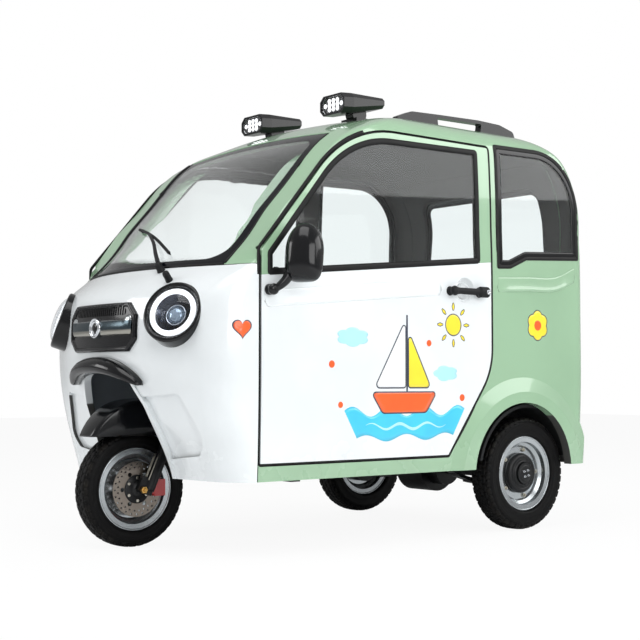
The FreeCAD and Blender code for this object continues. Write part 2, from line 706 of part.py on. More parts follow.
def axis_y(z):
    """Y of the steering axis at a height."""
    return float(S.axle_lead) + (z - float(S.front_tyre_diameter) / 2) * math.tan(math.radians(float(S.rake)))


well = well.cut(Part.makeCylinder(34, 80, Vector(0, axis_y(WELL_TOP), WELL_TOP - 30)))
shaped("front_well", well.common(FITTED))

# Dash, a moulded ledge across the cabin under the windscreen
dash_wire = outline([
    (-80, 940, 0), (238, 956, 30), (276, 922, 20), (250, 700, 10), (236, 640, 0),
    (222, 640, 0), (236, 702, 10), (262, 920, 12), (234, 942, 20), (-80, 926, 0),
], "YZ")
dash = prism(dash_wire, -WIDTH + 52, WIDTH - 52, "X").common(FITTED)
COLUMN_SLOT = 40
dash = dash.cut(block((-COLUMN_SLOT, 150, 600), (COLUMN_SLOT, 300, 722)))
shaped("dash", dash)

# Floor: a pressed tray with a raised deck behind the driver
FLOOR = float(S.floor_height)
DECK = float(S.deck_height)
RISER = float(S.wheel_base) - 325
floor_wire = outline([
    (WELL_REAR + SHEET + 1, FLOOR - SHEET, 0), (WELL_REAR + SHEET + 1, FLOOR, 0),
    (RISER, FLOOR, 10), (RISER, DECK, 20), (TAIL + 100, DECK, 0),
    (TAIL + 100, DECK - SHEET, 0), (RISER + SHEET, DECK - SHEET, 8), (RISER + SHEET, FLOOR - SHEET, 8),
], "YZ")
door_room = prism(door_wire.makeOffset2D(6), WIDTH - 50, FAR, "X")
floor = prism(floor_wire, -FAR, FAR, "X").common(FITTED).cut(both_sides(door_room))
RAIL = float(S.rail_size)
RAIL_X = float(S.rail_spread)
KICK = RISER + SHEET + 1
RAIL_REAR = 300.0
RAIL_END = TAIL - 36
FRONT_BEAM = WELL_REAR + SHEET + 4
POST_X = 100
POST = 32
post_hole = block((POST_X - POST / 2 - GAP, FRONT_BEAM - GAP, FLOOR - SHEET - 5),
                  (POST_X + POST / 2 + GAP, FRONT_BEAM + POST + GAP, FLOOR + 5))
shaped("floor_pan", floor.cut(both_sides(post_hole)))

# Rear wheel housings inside the arches
REAR_AXLE = float(S.wheel_base)
REAR_RISE = float(S.rear_tyre_diameter) / 2
house_in = REAR_RISE + 38
HOUSE_X = float(S.rear_track) / 2 - float(S.rear_tyre_width) / 2 - 62
HOUSE_OUT = WIDTH - float(S.skin) - 6
hood = across(house_in + SHEET, HOUSE_X, HOUSE_OUT, REAR_AXLE, REAR_RISE)
hood = hood.cut(across(house_in, HOUSE_X + SHEET, FAR, REAR_AXLE, REAR_RISE))
hood = hood.cut(block((0, 0, -FAR), (FAR, FAR, RAIL_REAR - 20)))
hood = hood.common(FITTED)
shaped("rear_housings", both_sides(hood))

# Chassis: rails, cross tubes, steering head and its posts
HEAD_Z0 = WELL_TOP + SHEET + 14
HEAD_Z1 = HEAD_Z0 + 130


def along_axis(z0, z1, diameter):
    start = Vector(0, axis_y(z0), z0)
    end = Vector(0, axis_y(z1), z1)
    return Part.makeCylinder(float(diameter) / 2, (end - start).Length, start, end - start)


RAIL_TOP = FLOOR - SHEET - GAP
RAIL_LOW = RAIL_TOP - RAIL
rails = []
for side in (-1, 1):
    left = side * RAIL_X - RAIL / 2
    right = left + RAIL
    rails.append(block((left, FRONT_BEAM, RAIL_LOW), (right, KICK + RAIL, RAIL_TOP)))
    rails.append(block((left, KICK, RAIL_LOW), (right, KICK + RAIL, RAIL_REAR + RAIL)))
    rails.append(block((left, KICK, RAIL_REAR), (right, RAIL_END, RAIL_REAR + RAIL)))
# Cross tubes: half length, front face, underside
beams = []
for half_length, beam_y, beam_z in (
        (RAIL_X + 150, FRONT_BEAM, RAIL_LOW), (RAIL_X, 720, RAIL_LOW),
        (RAIL_X + RAIL / 2, RAIL_END - RAIL, RAIL_REAR), (RAIL_X, REAR_AXLE - 290, RAIL_REAR)):
    beams.append(block((-half_length, beam_y, beam_z), (half_length, beam_y + RAIL, beam_z + RAIL)))
posts = []
for side in (-1, 1):
    left = side * POST_X - POST / 2
    posts.append(block((left, FRONT_BEAM, RAIL_LOW), (left + POST, FRONT_BEAM + POST, HEAD_Z1 - 40)))
brace_y = axis_y(HEAD_Z0 + 45) - 6
posts.append(block((-POST_X - POST / 2, brace_y, HEAD_Z0 + 45),
                   (POST_X + POST / 2, FRONT_BEAM + POST, HEAD_Z0 + 85)))
head = along_axis(HEAD_Z0, HEAD_Z1, S.head_diameter)
chassis = rails[0].fuse(rails[1:] + beams + posts + [head])
chassis = chassis.cut(along_axis(HEAD_Z0 - 50, HEAD_Z1 + 50, S.stem_diameter + 2 * S.fit_gap))
shaped("chassis", chassis)

# Rear axle, motor and leaf springs
axle_half = float(S.rear_track) / 2 - float(S.drum_depth) - 6
shaft_half = float(S.rear_track) / 2 + 20
axle_parts = []
for diameter, low, high in (
        (S.axle_tube, -axle_half, axle_half), (S.half_shaft, -shaft_half, shaft_half),
        (S.motor_diameter, -120, 30), (140, 30, 90)):
    axle_parts.append(across(diameter / 2, low, high, REAR_AXLE, REAR_RISE))
shaped("rear_axle", axle_parts[0].fuse(axle_parts[1:]))
SPRING_X = float(S.spring_spread)
SPRING_HALF = 255.0
EYE_Z = RAIL_REAR - 52
SPRING_LOW = REAR_RISE - float(S.axle_tube) / 2 - 8


def leaf_arc(half_length, top, thick):
    """One leaf, an arc strip whose middle is lowest."""
    sag = (EYE_Z - SPRING_LOW) * (half_length / SPRING_HALF) ** 2
    wire = Part.Wire([
        Part.Arc(Vector(0, REAR_AXLE - half_length, top + sag), Vector(0, REAR_AXLE, top),
                 Vector(0, REAR_AXLE + half_length, top + sag)).toShape(),
        Part.LineSegment(Vector(0, REAR_AXLE + half_length, top + sag),
                         Vector(0, REAR_AXLE + half_length, top + sag - thick)).toShape(),
        Part.Arc(Vector(0, REAR_AXLE + half_length, top + sag - thick), Vector(0, REAR_AXLE, top - thick),
                 Vector(0, REAR_AXLE - half_length, top + sag - thick)).toShape(),
        Part.LineSegment(Vector(0, REAR_AXLE - half_length, top + sag - thick),
                         Vector(0, REAR_AXLE - half_length, top + sag)).toShape(),
    ])
    width = float(S.spring_width)
    return prism(wire, SPRING_X - width / 2, SPRING_X + width / 2, "X")


spring = leaf_arc(SPRING_HALF, SPRING_LOW, 7).fuse([
    leaf_arc(195, SPRING_LOW - 7, 7), leaf_arc(130, SPRING_LOW - 14, 7),
])
pieces = []
for end in (-1, 1):
    y = REAR_AXLE + end * SPRING_HALF
    width = float(S.spring_width)
    pieces.append(Part.makeCylinder(14, width, Vector(SPRING_X - width / 2, y, EYE_Z - 3), Vector(1, 0, 0)))
    for side in (-1, 1):
        x = SPRING_X + side * (width / 2 + 3)
        pieces.append(block((x - 3, y - 16, EYE_Z - 16), (x + 3, y + 16, RAIL_REAR - GAP)))
clamp = block((SPRING_X - 30, REAR_AXLE - 36, SPRING_LOW - 27),
              (SPRING_X + 30, REAR_AXLE + 36, SPRING_LOW + 8 - GAP))
spring = spring.fuse(pieces + [clamp])
shaped("leaf_springs", both_sides(spring))

# Wheels
def tyre_half(seat_half, flange_top, diameter, width):
    """Half section of a tyre, from the middle of its base out and back to its crown."""
    base = S.rim_seat / 2 + S.fit_gap
    half = as_size(width) / 2
    top = as_size(diameter) / 2
    return [
        (0, base), (seat_half - S.rim_wall, base), (seat_half, flange_top), (seat_half, flange_top + 2),
        (half * 0.93, flange_top + 6), (half, (flange_top + top) / 2),
        (half * 0.94, top - 17), (half * 0.68, top), (0, top),
    ]


def rim_half(rim_width, hub_diameter, hub_length, bore):
    """Half section of a pressed rim with a web and a hub, about the middle plane."""
    seat = S.rim_seat / 2
    top = seat + S.rim_flange
    half = as_size(rim_width) / 2
    wall = S.rim_wall
    well = seat - 13
    return [
        (0, well), (10, well), (18, seat - 1), (half - wall, seat), (half, top), (half + 5, top),
        (half + 3, seat - 4), (20, seat - wall - 3), (12, well - wall - 2), (3.5, well - wall - 8),
        (3.5, as_size(hub_diameter) / 2), (as_size(hub_length) / 2, as_size(hub_diameter) / 2),
        (as_size(hub_length) / 2, as_size(bore) / 2), (0, as_size(bore) / 2),
    ]


def closed_half(rows):
    """Drop the doubled points on the middle plane, which the mirror image supplies."""
    return [row for row in rows if float(as_size(row[0])) > 0]


FRONT_AT = (0, 0, S.front_tyre_diameter / 2)
WEB_FACE = 4 + S.fit_gap
flange_top = S.rim_seat / 2 + S.rim_flange
tyre_rows = tyre_half(S.front_rim_width / 2 - 0.5, flange_top, S.front_tyre_diameter, S.front_tyre_width)
turned_body("front_tyre", closed_half(tyre_rows), FRONT_AT)
front_bore = S.front_axle_diameter + 2 * S.fit_gap
rim_rows = rim_half(S.front_rim_width, S.front_hub_diameter, S.front_hub_length, front_bore)
turned_body("front_rim", closed_half(rim_rows), FRONT_AT)
DISC_IN = float(S.front_hub_length) / 2 + GAP
DISC_OUT = DISC_IN + float(S.disc_thickness)
AXLE_Z = float(S.front_tyre_diameter) / 2
disc = across(S.disc_diameter / 2, DISC_IN, DISC_OUT, 0, AXLE_Z)
# Rings of holes in the disc: distance from the axle, hole radius, count, first angle
DISC_HOLES = [
    (88, 3.5, 24, 0),
    (76, 3.5, 24, 7.5),
    (58, 8, 6, 0),
    (0, float(S.front_axle_diameter) / 2 + 6, 1, 0),
]
for ring, radius, count, first in DISC_HOLES:
    holes = []
    for index in range(count):
        angle = math.radians(first + index * 360 / count)
        hole_y = ring * math.cos(angle)
        holes.append(across(radius, DISC_IN - 5, DISC_OUT + 5, hole_y, AXLE_Z + ring * math.sin(angle)))
    disc = disc.cut(Part.makeCompound(holes))
shaped("front_disc", disc)
for word, side in (("left", 1), ("right", -1)):
    place = (S.rear_track / 2 * side, S.wheel_base, S.rear_tyre_diameter / 2)
    rows = tyre_half(S.rear_rim_width / 2 - 0.5, flange_top, S.rear_tyre_diameter, S.rear_tyre_width)
    turned_body("rear_tyre_" + word, closed_half(rows), place)
    rows = rim_half(S.rear_rim_width, S.hub_spigot + 40, 8, S.hub_spigot + 2 * S.fit_gap)
    turned_body("rear_rim_" + word, closed_half(rows), place)
    rods = []
    for name, diameter, start, end in (
            ("drum", S.rear_drum, -S.drum_depth, -WEB_FACE),
            ("spigot", S.hub_spigot, -WEB_FACE, WEB_FACE),
            ("flange", S.hub_flange, WEB_FACE, WEB_FACE + 12),
            ("cap", S.hub_cap, WEB_FACE + 12, WEB_FACE + 40)):
        low, high = (start, end) if side > 0 else (-end, -start)
        rods.append(rod("%s_%s" % (name, word), "X", diameter, (low, 0, 0), high - low))
    low = -S.drum_depth - 1 if side > 0 else -(WEB_FACE + 20)
    bore_length = S.drum_depth + WEB_FACE + 21
    bore = rod("hub_bore_" + word, "X", S.half_shaft + 2 * S.fit_gap, (low, 0, 0), bore_length)
    publish(cut("hub_" + word, fuse("hub_rods_" + word, rods), [bore]), "rear_hub_" + word, place)

# Steering: drawn upright about the axle's level and leaned back by the rake
STEER_AT = (0, S.axle_lead, S.front_tyre_diameter / 2)
LEAD = -(S.axle_lead * degree_function("cos", S.rake))
LEG_BACK = LEAD + 26
legs = []
for word, side in (("left", 1), ("right", -1)):
    x = S.leg_spread * side
    legs.append(rod("leg_" + word, "Z", S.leg_diameter, (x, LEG_BACK, 20), 372))
    legs.append(rod("slider_" + word, "Z", S.leg_diameter + 8, (x, LEG_BACK, -10), 190))
    lug = box("lug_" + word, (x - 9, LEAD - 18, -26), (x + 9, LEG_BACK + 14, 26))
    legs.append(lug)
crown = box("crown", (-S.leg_spread - 20, LEG_BACK - 22, 352), (S.leg_spread + 20, 24, 384))
stem = rod("stem", "Z", S.stem_diameter, (0, 0, 360), 470)
low = -(S.axle_lead * degree_function("sin", S.rake))
spindle = rod("spindle", "X", S.front_axle_diameter, (-(S.leg_spread + 14), LEAD, low), 2 * S.leg_spread + 28)
SPACER = S.leg_spread - 9
disc_face = S.front_hub_length / 2 + S.fit_gap + S.disc_thickness + S.fit_gap
spacers = [
    rod("spacer_left", "X", 26, (disc_face, LEAD, low), SPACER - disc_face),
    rod("spacer_right", "X", 26, (-SPACER, LEAD, low), SPACER - S.front_hub_length / 2 - S.fit_gap),
]
publish(fuse("fork", legs + spacers + [crown, stem, spindle]), "fork", STEER_AT, leaning=True)

BAR_Z = 812
bar_clamp = box("bar_clamp", (-24, -22, BAR_Z - 16), (24, 22, BAR_Z + 18))
clamp_bore = rod("clamp_bore", "Z", S.stem_diameter + 2 * S.fit_gap, (0, 0, BAR_Z - 60), 90)
tube = rod("bar_tube", "X", 22, (-S.bar_half_width, 0, BAR_Z + 28), 2 * S.bar_half_width)
saddle = box("bar_saddle", (-24, -18, BAR_Z + 12), (24, 18, BAR_Z + 44))
pod = box("bar_pod", (-75, -30, BAR_Z + 30), (75, 32, BAR_Z + 74))
grips = []
for word, side in (("left", 1), ("right", -1)):
    inner = S.bar_half_width - 125
    start = inner if side > 0 else -S.bar_half_width
    grips.append(rod("grip_" + word, "X", 34, (start, 0, BAR_Z + 28), 125))
    start = inner - 40 if side > 0 else -inner
    grips.append(rod("switch_" + word, "X", 44, (start, 0, BAR_Z + 28), 40))
    for name, near, far, front, rear, low, high in (
            ("lever_", inner - 20, S.bar_half_width - 10, -62, -52, 20, 32),
            ("perch_", inner - 34, inner - 12, -60, 0, 18, 34)):
        left, right = (near, far) if side > 0 else (-far, -near)
        grips.append(box(name + word, (left, front, BAR_Z + low), (right, rear, BAR_Z + high)))
handlebar = cut("handlebar", fuse("bar_parts", [bar_clamp, saddle, pod, tube] + grips), [clamp_bore])
publish(handlebar, "handlebar", STEER_AT, leaning=True)

# Front fender: a deep hood over the tyre, cut level along its skirts
WHEEL = Vector(0, 0, float(S.front_tyre_diameter) / 2)
FENDER_R = float(S.fender_radius)
FENDER_W = float(S.fender_width)
FENDER_FOOT = WHEEL.z + 186
FENDER_BACK = 22


def wheel_drum(radius, half_width):
    return across(radius, -half_width, half_width, FENDER_BACK, WHEEL.z)


hood = wheel_drum(FENDER_R, FENDER_W / 2).cut(wheel_drum(FENDER_R - 4, FENDER_W / 2 - 4))
lean = math.tan(math.radians(float(S.rake)))
behind = outline([
    (-FAR, FENDER_FOOT, 0), (-FAR, FAR, 0),
    (axis_y(FAR) - 20, FAR, 0), (axis_y(FENDER_FOOT) - 20, FENDER_FOOT, 0),
], "YZ")
hood = hood.common(prism(behind, -FAR, FAR, "X"))
tilt = Rotation(Vector(1, 0, 0), -float(S.rake))
STEER = Vector(0, float(S.axle_lead), WHEEL.z)
UP = tilt.multVec(Vector(0, 0, 1))
leg_back = -float(S.axle_lead) * math.cos(math.radians(float(S.rake))) + 26
SLIDER_TOP = 180
leg_room = float(S.leg_diameter) / 2 + GAP
for side in (-1, 1):
    start = STEER + tilt.multVec(Vector(side * float(S.leg_spread), leg_back, -40))
    hood = hood.cut(Part.makeCylinder(leg_room + 4, SLIDER_TOP + 40 + GAP, start, UP))
    hood = hood.cut(Part.makeCylinder(leg_room, 600, start, UP))
hood = hood.cut(along_axis(WHEEL.z, WHEEL.z + 400, 60))
parts_kept = [solid for solid in hood.Solids if solid.BoundBox.YMin < -100]
shaped("front_fender", parts_kept[0])

# Brake caliper on the left slider
caliper = block((34, 60, WHEEL.z - 26), (66, 104, WHEEL.z + 32))
caliper = caliper.fuse(block((56, 34, WHEEL.z - 16), (74, 62, WHEEL.z + 22)))
slot = across(S.disc_diameter / 2 + 2, DISC_IN - 1.5, DISC_OUT + 1.5, 0, WHEEL.z)
start = STEER + tilt.multVec(Vector(float(S.leg_spread), leg_back, -40))
caliper = caliper.cut(slot).cut(Part.makeCylinder(leg_room + 4, 600, start, UP))
shaped("caliper", caliper)

# Seats: padded blocks on a box and on the rear deck
SEAT_Y = 700.0
SEAT_TOP = float(S.seat_height)
CUSHION = float(S.cushion)


def pad(x, y0, y1, z0, z1, radius):
    """A cushion with rounded corners in plan."""
    wire = outline([(-x, y0, radius), (x, y0, radius), (x, y1, radius), (-x, y1, radius)], "XY")
    return prism(wire, z0, z1, "Z")


def backrest(x, y, cushion_end, cushion_top, z1, radius, recline):
    """A reclined back whose foot is lifted clear of the cushion under it."""
    z0 = cushion_top + (cushion_end - y) * math.sin(math.radians(recline)) + GAP
    wire = outline([(-x, z0, radius / 2), (x, z0, radius / 2), (x, z1, radius), (-x, z1, radius)], "XZ")
    rest = prism(wire, y, y + 75, "Y")
    rest.rotate(Vector(0, y, z0), Vector(1, 0, 0), -recline)
    return rest


shaped("seat_box", block((-170, SEAT_Y + 25, FLOOR + GAP), (170, SEAT_Y + 330, SEAT_TOP - CUSHION - GAP)))
SEAT_END = SEAT_Y + 370
shaped("driver_cushion", pad(215, SEAT_Y, SEAT_END, SEAT_TOP - CUSHION, SEAT_TOP, 60))
shaped("driver_backrest", backrest(205, SEAT_END - 25, SEAT_END, SEAT_TOP, SEAT_TOP + 390, 60, 8))
BENCH_TOP = float(S.bench_height)
BENCH_END = TAIL - 150
shaped("bench_cushion", pad(455, RISER + 110, BENCH_END, DECK + GAP, BENCH_TOP, 50))
shaped("bench_backrest", backrest(450, BENCH_END - 45, BENCH_END, BENCH_TOP, BENCH_TOP + 370, 50, 8))

# Roof rails and lamps
ROOF = body_form(-GAP).common(block((-600, 400, 1450), (600, 1700, FAR)))
rail_wire = outline([
    (876, 1520, 0), (900, 1578, 20), (968, 1604, 60), (1120, 1609, 0), (1330, 1614, 0),
    (1450, 1610, 80), (1528, 1590, 20), (1560, 1520, 0),
], "YZ")
rail_gap_wire = outline([(1120, 1500, 0), (1104, 1596, 5), (1346, 1600, 5), (1330, 1500, 0)], "YZ")
rail = prism(rail_wire, 388, 420, "X").cut(prism(rail_gap_wire, 300, 500, "X")).cut(ROOF)
rail = max(rail.Solids, key=lambda solid: solid.Volume)
shaped("roof_rails", both_sides(rail))


def octagon(x, y, z, half_width, half_height, corner):
    rows = [
        (-half_width, -half_height + corner), (-half_width, half_height - corner),
        (-half_width + corner, half_height), (half_width - corner, half_height),
        (half_width, half_height - corner), (half_width, -half_height + corner),
        (half_width - corner, -half_height), (-half_width + corner, -half_height),
    ]
    points = [Vector(x + a, y, z + b) for a, b in rows]
    return Part.makePolygon(points + [points[0]])


lamp_x = 257.0
lamp = Part.makeLoft([octagon(lamp_x, 712, 1622, 72, 38, 20), octagon(lamp_x, 760, 1626, 72, 38, 20),
                      octagon(lamp_x, 925, 1646, 58, 20, 12)], True, True)
mouth_rings = [octagon(lamp_x, 700, 1621, 64, 30, 16), octagon(lamp_x, 724, 1623, 64, 30, 16)]
lamp = lamp.cut(Part.makeLoft(mouth_rings, True, True))
foot = Part.makeCylinder(34, 44, Vector(lamp_x - 22, 830, 1598), Vector(1, 0, 0)).cut(ROOF)
foot = foot.fuse(block((lamp_x - 45, 795, 1545), (lamp_x + 45, 865, 1578)).cut(ROOF))
lamp = lamp.fuse(foot)
shaped("roof_lamps", both_sides(lamp))
lens_rings = [octagon(lamp_x, 716, 1622, 63.7, 29.7, 15.8), octagon(lamp_x, 723.7, 1623, 63.7, 29.7, 15.8)]
lamp_lens = Part.makeLoft(lens_rings, True, True)
shaped("roof_lamp_lenses", both_sides(lamp_lens))

# Wiper on the windscreen
def skin_point(x, z, lift):
    """A point lifted off the front skin at a place in the front view."""
    line = Part.makeLine(Vector(x, -500, z), Vector(x, 900, z)).common(OUTER)
    return Vector(x, line.BoundBox.YMin, z) + Vector(0, -0.7, 0.72) * lift


def bar_between(start, end, radius):
    return Part.makeCylinder(radius, (end - start).Length, start, end - start)


hub = skin_point(88, 952, 4)
mid = skin_point(24, 1080, 20)
tip_a = skin_point(-64, 1124, 9)
tip_b = skin_point(116, 1036, 9)
wiper = bar_between(skin_point(88, 952, -6), skin_point(88, 952, 24), 11)
wiper = wiper.fuse([
    bar_between(skin_point(88, 952, 18), mid, 5),
    bar_between(tip_a, tip_b, 6),
    bar_between(mid, (tip_a + tip_b) * 0.5, 5),
])
shaped("wiper", wiper.cut(body_form(-GAP)))

# Tail lamps
tail_wire = outline([(352, 760, 18), (352, 960, 18), (420, 960, 18), (420, 760, 18)], "XZ")
tail_lamp = prism(tail_wire, TAIL + GAP, TAIL + 16, "Y")
shaped("tail_lamps", both_sides(tail_lamp))


# Check and export
doc.recompute()
bad = [thing.Name for thing in doc.Objects if "Invalid" in thing.State or "Error" in thing.State]
if bad:
    raise RuntimeError("failed objects: " + ", ".join(bad))
for thing in nodes:
    if thing.Shape.isNull() or not thing.Shape.isValid() or thing.Shape.Volume <= 0:
        raise RuntimeError("bad shape: " + thing.Label)
os.makedirs("parts", exist_ok=True)
for thing in nodes:
    thing.Shape.exportStep("parts/" + thing.Label + ".step")
print("exported", len(nodes), "sub-parts")
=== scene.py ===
import math

import bmesh
import bpy
import numpy as np
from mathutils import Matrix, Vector
from mathutils.bvhtree import BVHTree


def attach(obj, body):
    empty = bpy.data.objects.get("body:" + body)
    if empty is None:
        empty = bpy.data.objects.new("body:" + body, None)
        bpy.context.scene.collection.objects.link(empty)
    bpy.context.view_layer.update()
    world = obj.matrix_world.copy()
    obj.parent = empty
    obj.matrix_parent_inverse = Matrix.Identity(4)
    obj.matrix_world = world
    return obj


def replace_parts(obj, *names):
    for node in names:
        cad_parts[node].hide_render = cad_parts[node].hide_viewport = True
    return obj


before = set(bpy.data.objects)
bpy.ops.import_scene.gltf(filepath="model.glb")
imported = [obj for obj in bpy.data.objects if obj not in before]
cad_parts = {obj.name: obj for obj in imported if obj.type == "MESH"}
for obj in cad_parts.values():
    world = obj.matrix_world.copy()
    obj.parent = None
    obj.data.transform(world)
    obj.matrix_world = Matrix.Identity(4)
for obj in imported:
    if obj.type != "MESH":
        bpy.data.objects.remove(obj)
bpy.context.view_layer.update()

# The studio: a white sheet under the tricycle, a pale room and four large soft lamps.
# The camera stands off the front left wheel, 0.58 m above the ground, and looks slightly up.

FRONT_AXLE_Y = -0.789
CAMERA_AT = (4.0406, -2.4053 + FRONT_AXLE_Y, 0.5833)
CAMERA_TURN = math.radians(51.046)
CAMERA_RISE = math.radians(2.644)
SENSOR_WIDTH = 36.0
FOCAL_LENGTH = 73.85

scene = bpy.context.scene
scene.view_settings.view_transform = "Standard"

lens = bpy.data.cameras.new("view_camera")
lens.sensor_width = SENSOR_WIDTH
lens.lens = FOCAL_LENGTH
lens.clip_end = 60
view_camera = bpy.data.objects.new("view_camera", lens)
scene.collection.objects.link(view_camera)
view_camera.location = CAMERA_AT
looking = Vector((-math.sin(CAMERA_TURN) * math.cos(CAMERA_RISE),
                  math.cos(CAMERA_TURN) * math.cos(CAMERA_RISE), math.sin(CAMERA_RISE)))
view_camera.rotation_euler = looking.to_track_quat("-Z", "Y").to_euler()
scene.camera = view_camera


class Field:
    """A shader socket that sums can be written with; each operator adds its Math node."""

    def __init__(self, finish, socket):
        self.finish = finish
        self.socket = socket

    def maths(self, operation, first, second=0.0):
        return self.finish.node("ShaderNodeMath", {"operation": operation}, {0: first, 1: second})

    def __add__(self, other):
        return self.maths("ADD", self, other)

    def __radd__(self, other):
        return self.maths("ADD", other, self)

    def __sub__(self, other):
        return self.maths("SUBTRACT", self, other)

    def __rsub__(self, other):
        return self.maths("SUBTRACT", other, self)

    def __mul__(self, other):
        return self.maths("MULTIPLY", self, other)

    def __rmul__(self, other):
        return self.maths("MULTIPLY", other, self)

    def __abs__(self):
        return self.maths("ABSOLUTE", self)

    def sine(self):
        return self.maths("SINE", self)

    def root(self):
        return self.maths("SQRT", self)

    def most(self, other):
        return self.maths("MAXIMUM", self, other)

    def step(self, low, high):
        """0 below low, 1 above high and a smooth rise between them."""
        settings = {"interpolation_type": "SMOOTHSTEP"}
        return self.finish.node("ShaderNodeMapRange", settings, {"Value": self, "From Min": low, "From Max": high})


class Finish:
    """A material being put together from nodes."""

    def __init__(self, name):
        self.material = bpy.data.materials.new(name)
        self.material.use_nodes = True
        self.tree = self.material.node_tree
        self.tree.nodes.clear()

    def node(self, kind, settings=None, sockets=None, output=0):
        """One node: its settings are set first, then the values or links of its sockets."""
        made = self.tree.nodes.new(kind)
        for name, value in (settings or {}).items():
            setattr(made, name, value)
        for name, value in (sockets or {}).items():
            if isinstance(value, Field):
                self.tree.links.new(value.socket, made.inputs[name])
            else:
                made.inputs[name].default_value = value
        return Field(self, made.outputs[output])

    def place(self):
        """The X, Y and Z of a point on the object, as three fields."""
        spot = self.node("ShaderNodeTexCoord", output="Object")
        return [self.node("ShaderNodeSeparateXYZ", None, {0: spot}, axis) for axis in "XYZ"]

    def noise(self, scale, detail=3.0, stretch=(1, 1, 1), roughness=0.5):
        """Cloudy noise from 0 to 1; stretch shortens its clouds along each axis."""
        spot = self.node("ShaderNodeTexCoord", output="Object")
        spot = self.node("ShaderNodeMapping", None, {"Vector": spot, "Scale": stretch})
        sockets = {"Vector": spot, "Scale": scale, "Detail": detail, "Roughness": roughness}
        return self.node("ShaderNodeTexNoise", None, sockets)

    def blend(self, share, first, second):
        """first where share is 0, second where it is 1; both are colours."""
        settings = {"data_type": "RGBA"}
        return self.node("ShaderNodeMix", settings, {0: share, 6: first, 7: second}, 2)

    def bump(self, height, distance, strength=1.0):
        """The normal, tilted by the slope of a height field that is distance metres high."""
        return self.node("ShaderNodeBump", None, {"Height": height, "Distance": distance, "Strength": strength})

    def surface(self, **sockets):
        """The main shader; a socket's name has an underscore for each space."""
        named = {name.replace("_", " "): value for name, value in sockets.items()}
        return self.node("ShaderNodeBsdfPrincipled", None, named)

    def done(self, shader):
        """The material, with a shader on its output."""
        out = self.tree.nodes.new("ShaderNodeOutputMaterial")
        self.tree.links.new(shader.socket, out.inputs["Surface"])
        return self.material


def rgb(red, green, blue):
    """A colour from the 0 to 255 values at which it shows, as a linear colour."""
    shares = np.array([red, green, blue]) / 255
    linear = np.where(shares > 0.04045, ((shares + 0.055) / 1.055) ** 2.4, shares / 12.92)
    return tuple(float(share) for share in linear) + (1.0,)


ROOM_LIGHT = 0.45
SHEET_COLOUR = rgb(246, 247, 248)
SHEET_SIZE = 30.0

world = bpy.data.worlds.new("pale_room")
world.use_nodes = True
scene.world = world
room = world.node_tree
room.nodes.clear()
path = room.nodes.new("ShaderNodeLightPath")
seen = room.nodes.new("ShaderNodeMath")
seen.operation = "MAXIMUM"
room.links.new(path.outputs["Is Camera Ray"], seen.inputs[0])
room.links.new(path.outputs["Is Transmission Ray"], seen.inputs[1])
strength = room.nodes.new("ShaderNodeMapRange")
room.links.new(seen.outputs[0], strength.inputs["Value"])
strength.inputs["To Min"].default_value = ROOM_LIGHT
strength.inputs["To Max"].default_value = 1.0
backdrop = room.nodes.new("ShaderNodeBackground")
backdrop.inputs["Color"].default_value = (1, 1, 1, 1)
room.links.new(strength.outputs[0], backdrop.inputs["Strength"])
room_out = room.nodes.new("ShaderNodeOutputWorld")
room.links.new(backdrop.outputs[0], room_out.inputs["Surface"])

# Lamps: name, place, point it looks at, width, height, watts
LAMPS = [
    ("side_lamp", (5.2, -0.6, 2.2), (0, 0.1, 0.7), 3.6, 2.4, 100),
    ("sky_lamp", (3.7, 3.9, 3.3), (0.5, 0.3, 0.8), 5.0, 2.4, 110),
    ("roof_lamp", (1.0, -1.6, 4.6), (0, -0.3, 0.9), 3.0, 3.0, 82),
    ("nose_lamp", (-2.6, -4.4, 2.4), (0, -0.5, 0.6), 2.0, 2.0, 66),
]
for name, at, aim, width, height, watts in LAMPS:
    lamp = bpy.data.lights.new(name, "AREA")
    lamp.shape = "RECTANGLE"
    lamp.size = width
    lamp.size_y = height
    lamp.energy = watts
    holder = bpy.data.objects.new(name, lamp)
    scene.collection.objects.link(holder)
    holder.location = at
    holder.rotation_euler = (Vector(aim) - Vector(at)).to_track_quat("-Z", "Y").to_euler()


def link_mesh(name, points, faces, smooth=True):
    """An object at the origin from points and faces."""
    mesh = bpy.data.meshes.new(name)
    mesh.from_pydata(np.asarray(points).tolist(), [], [tuple(face) for face in faces])
    mesh.validate()
    mesh.polygons.foreach_set("use_smooth", [smooth] * len(mesh.polygons))
    made = bpy.data.objects.new(name, mesh)
    scene.collection.objects.link(made)
    return made


sheet_reach = SHEET_SIZE / 2
studio_sheet = link_mesh("studio_sheet", [(-sheet_reach, -sheet_reach, 0), (sheet_reach, -sheet_reach, 0),
                                          (sheet_reach, sheet_reach, 0), (-sheet_reach, sheet_reach, 0)],
                         [(0, 1, 2, 3)], smooth=False)
paper = Finish("studio_paper")
lit = paper.surface(Base_Color=SHEET_COLOUR, Roughness=0.9, Specular_IOR_Level=0.1)
white = paper.node("ShaderNodeEmission", None, {"Color": (1, 1, 1, 1), "Strength": 1.0})
to_camera = paper.node("ShaderNodeLightPath", output="Is Camera Ray")
shade_kept = paper.node("ShaderNodeMixShader", None, {0: 0.92 * to_camera, 1: lit, 2: white})
studio_sheet.data.materials.append(paper.done(shade_kept))

# Bodywork: glass-fibre and pressed steel panels, sprayed pastel green on the frame, roof and
# rear, and white on the cowl and the lower doors. Inside they carry dark grey trim.

GREEN = rgb(152, 188, 154)
WHITE = rgb(236, 241, 243)
TRIM = rgb(74, 74, 72)
CABIN_MIDDLE = (0.0, 0.05, 0.95)
DUST_FROM, DUST_TO = 0.25, 0.47


